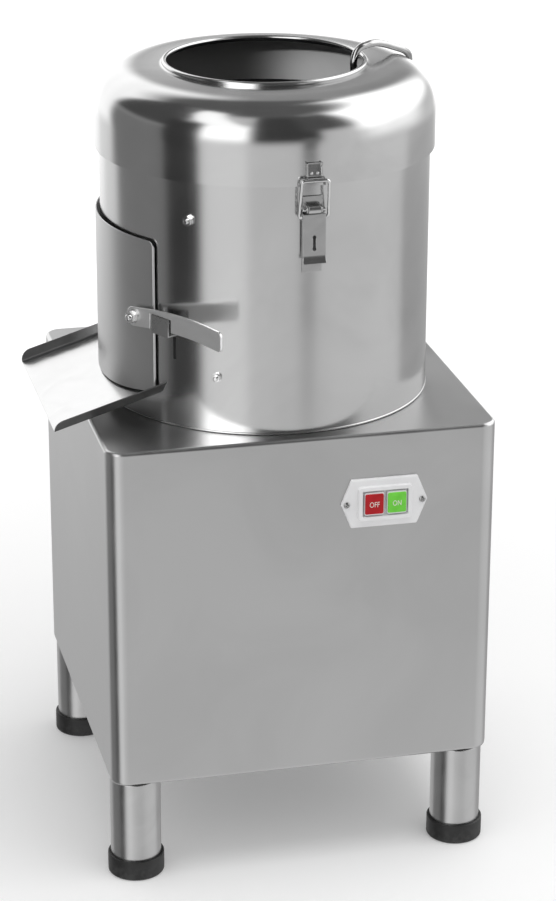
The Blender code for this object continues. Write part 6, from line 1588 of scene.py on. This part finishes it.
# %% Shape the disc
DISC_WAVE = 0.0020
DISC_WAVES = 4
DISC_THICKNESS = 0.008
DISC_EDGE = 0.0015
DISC_RINGS = 14
HUB_RADIUS, HUB_DEPTH = 0.024, 0.0075
KNOB_BORE = 0.0083
BAR_LENGTH, BAR_HALF = 0.110, 0.003
BAR_STARTS = (0.048, -0.158)
BAR_DROP, BAR_LAP = 0.007, 0.004
disc_low, disc_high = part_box("abrasive_disc")
disc_radius = (disc_high.x - disc_low.x) / 2
disc_top = disc_high.z - DISC_WAVE
disc_under = disc_top - DISC_THICKNESS


def disc_shape():
    section = [(KNOB_BORE, disc_under - HUB_DEPTH), (HUB_RADIUS, disc_under - HUB_DEPTH),
               (HUB_RADIUS, disc_under), (disc_radius - DISC_EDGE, disc_under),
               (disc_radius, disc_under + DISC_EDGE), (disc_radius, disc_top - DISC_EDGE)]
    section += [(disc_radius - DISC_EDGE + (KNOB_BORE - disc_radius + DISC_EDGE) * i / DISC_RINGS, disc_top)
                for i in range(DISC_RINGS + 1)]
    shape = turned(section)
    for point in shape.verts:
        if point.co.z > disc_under + DISC_THICKNESS / 2:
            share = hypot(point.co.x, point.co.y) / disc_radius
            point.co.z += DISC_WAVE * share ** 2 * sin(DISC_WAVES * atan2(point.co.y, point.co.x))
    bmesh.ops.translate(shape, vec=axis, verts=shape.verts)
    bars = [block((start, -BAR_HALF, disc_under - BAR_DROP),
                  (start + BAR_LENGTH, BAR_HALF, disc_under + BAR_LAP), on_axis) for start in BAR_STARTS]
    return united(shape, *bars)


show("grit_disc", disc_shape(), "disc_grit", "abrasive_disc")
print("Disc radius in mm:", mm(disc_radius))

# %% Turn the knob
KNOB_EDGE = 0.006
KNOB_CAP = 0.008
knob_low, knob_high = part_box("disc_knob")
knob_radius = (knob_high.x - knob_low.x) / 2
knob_section = [(0, knob_high.z - KNOB_CAP), (KNOB_BORE, knob_high.z - KNOB_CAP), (KNOB_BORE, knob_low.z),
                (knob_radius, knob_low.z),
                *arc((knob_radius - KNOB_EDGE, knob_high.z - KNOB_EDGE), KNOB_EDGE, 0, pi / 2, 8),
                (0, knob_high.z)]
show("hand_knob", turned(knob_section, on_axis, 64, closed=False), "turned_steel", "disc_knob")
print("Knob radius in mm:", mm(knob_radius))

# %% [markdown]
# ## Drive
# Below the drum are the bearing housing, the shaft, the two pulleys with their belt, and the motor
# on its shelf. They are seldom seen, through the open base or with the rear panel off, so eased
# copies of the CAD's solids with their own finishes are enough.

# %% Ease the drive's parts
DRIVE_PARTS = {
    "bearing_sleeve": ("bearing_housing", "cast_iron", 0.0008),
    "top_bearing": ("upper_bearing", "turned_steel", 0.0005),
    "bottom_bearing": ("lower_bearing", "turned_steel", 0.0005),
    "neck_seal": ("shaft_seal", "belt_rubber", 0.0004),
    "spindle_shaft": ("main_shaft", "turned_steel", 0.0005),
    "large_pulley": ("driven_pulley", "cast_iron", 0.0006),
    "small_pulley": ("motor_pulley", "turned_steel", 0.0004),
    "vee_belt": ("drive_belt", "belt_rubber", 0.0004),
    "rotor_shaft": ("motor_shaft", "turned_steel", 0.0004),
    "motor_body": ("motor_housing", "motor_enamel", 0.0006),
    "fan_cowl": ("motor_fan_cover", "motor_enamel", 0.0004),
    "fan_wheel": ("cooling_fan", "black_moulding", 0.0005),
    "terminal_case": ("terminal_box", "black_moulding", 0.0006),
    "waste_pipe": ("drain_pipe", "tube_steel", 0.0003),
    "cable_nut": ("cable_gland", "black_moulding", 0.0004),
}
for name, values in DRIVE_PARTS.items():
    eased(name, *values)
print("Drive parts:", len(DRIVE_PARTS))
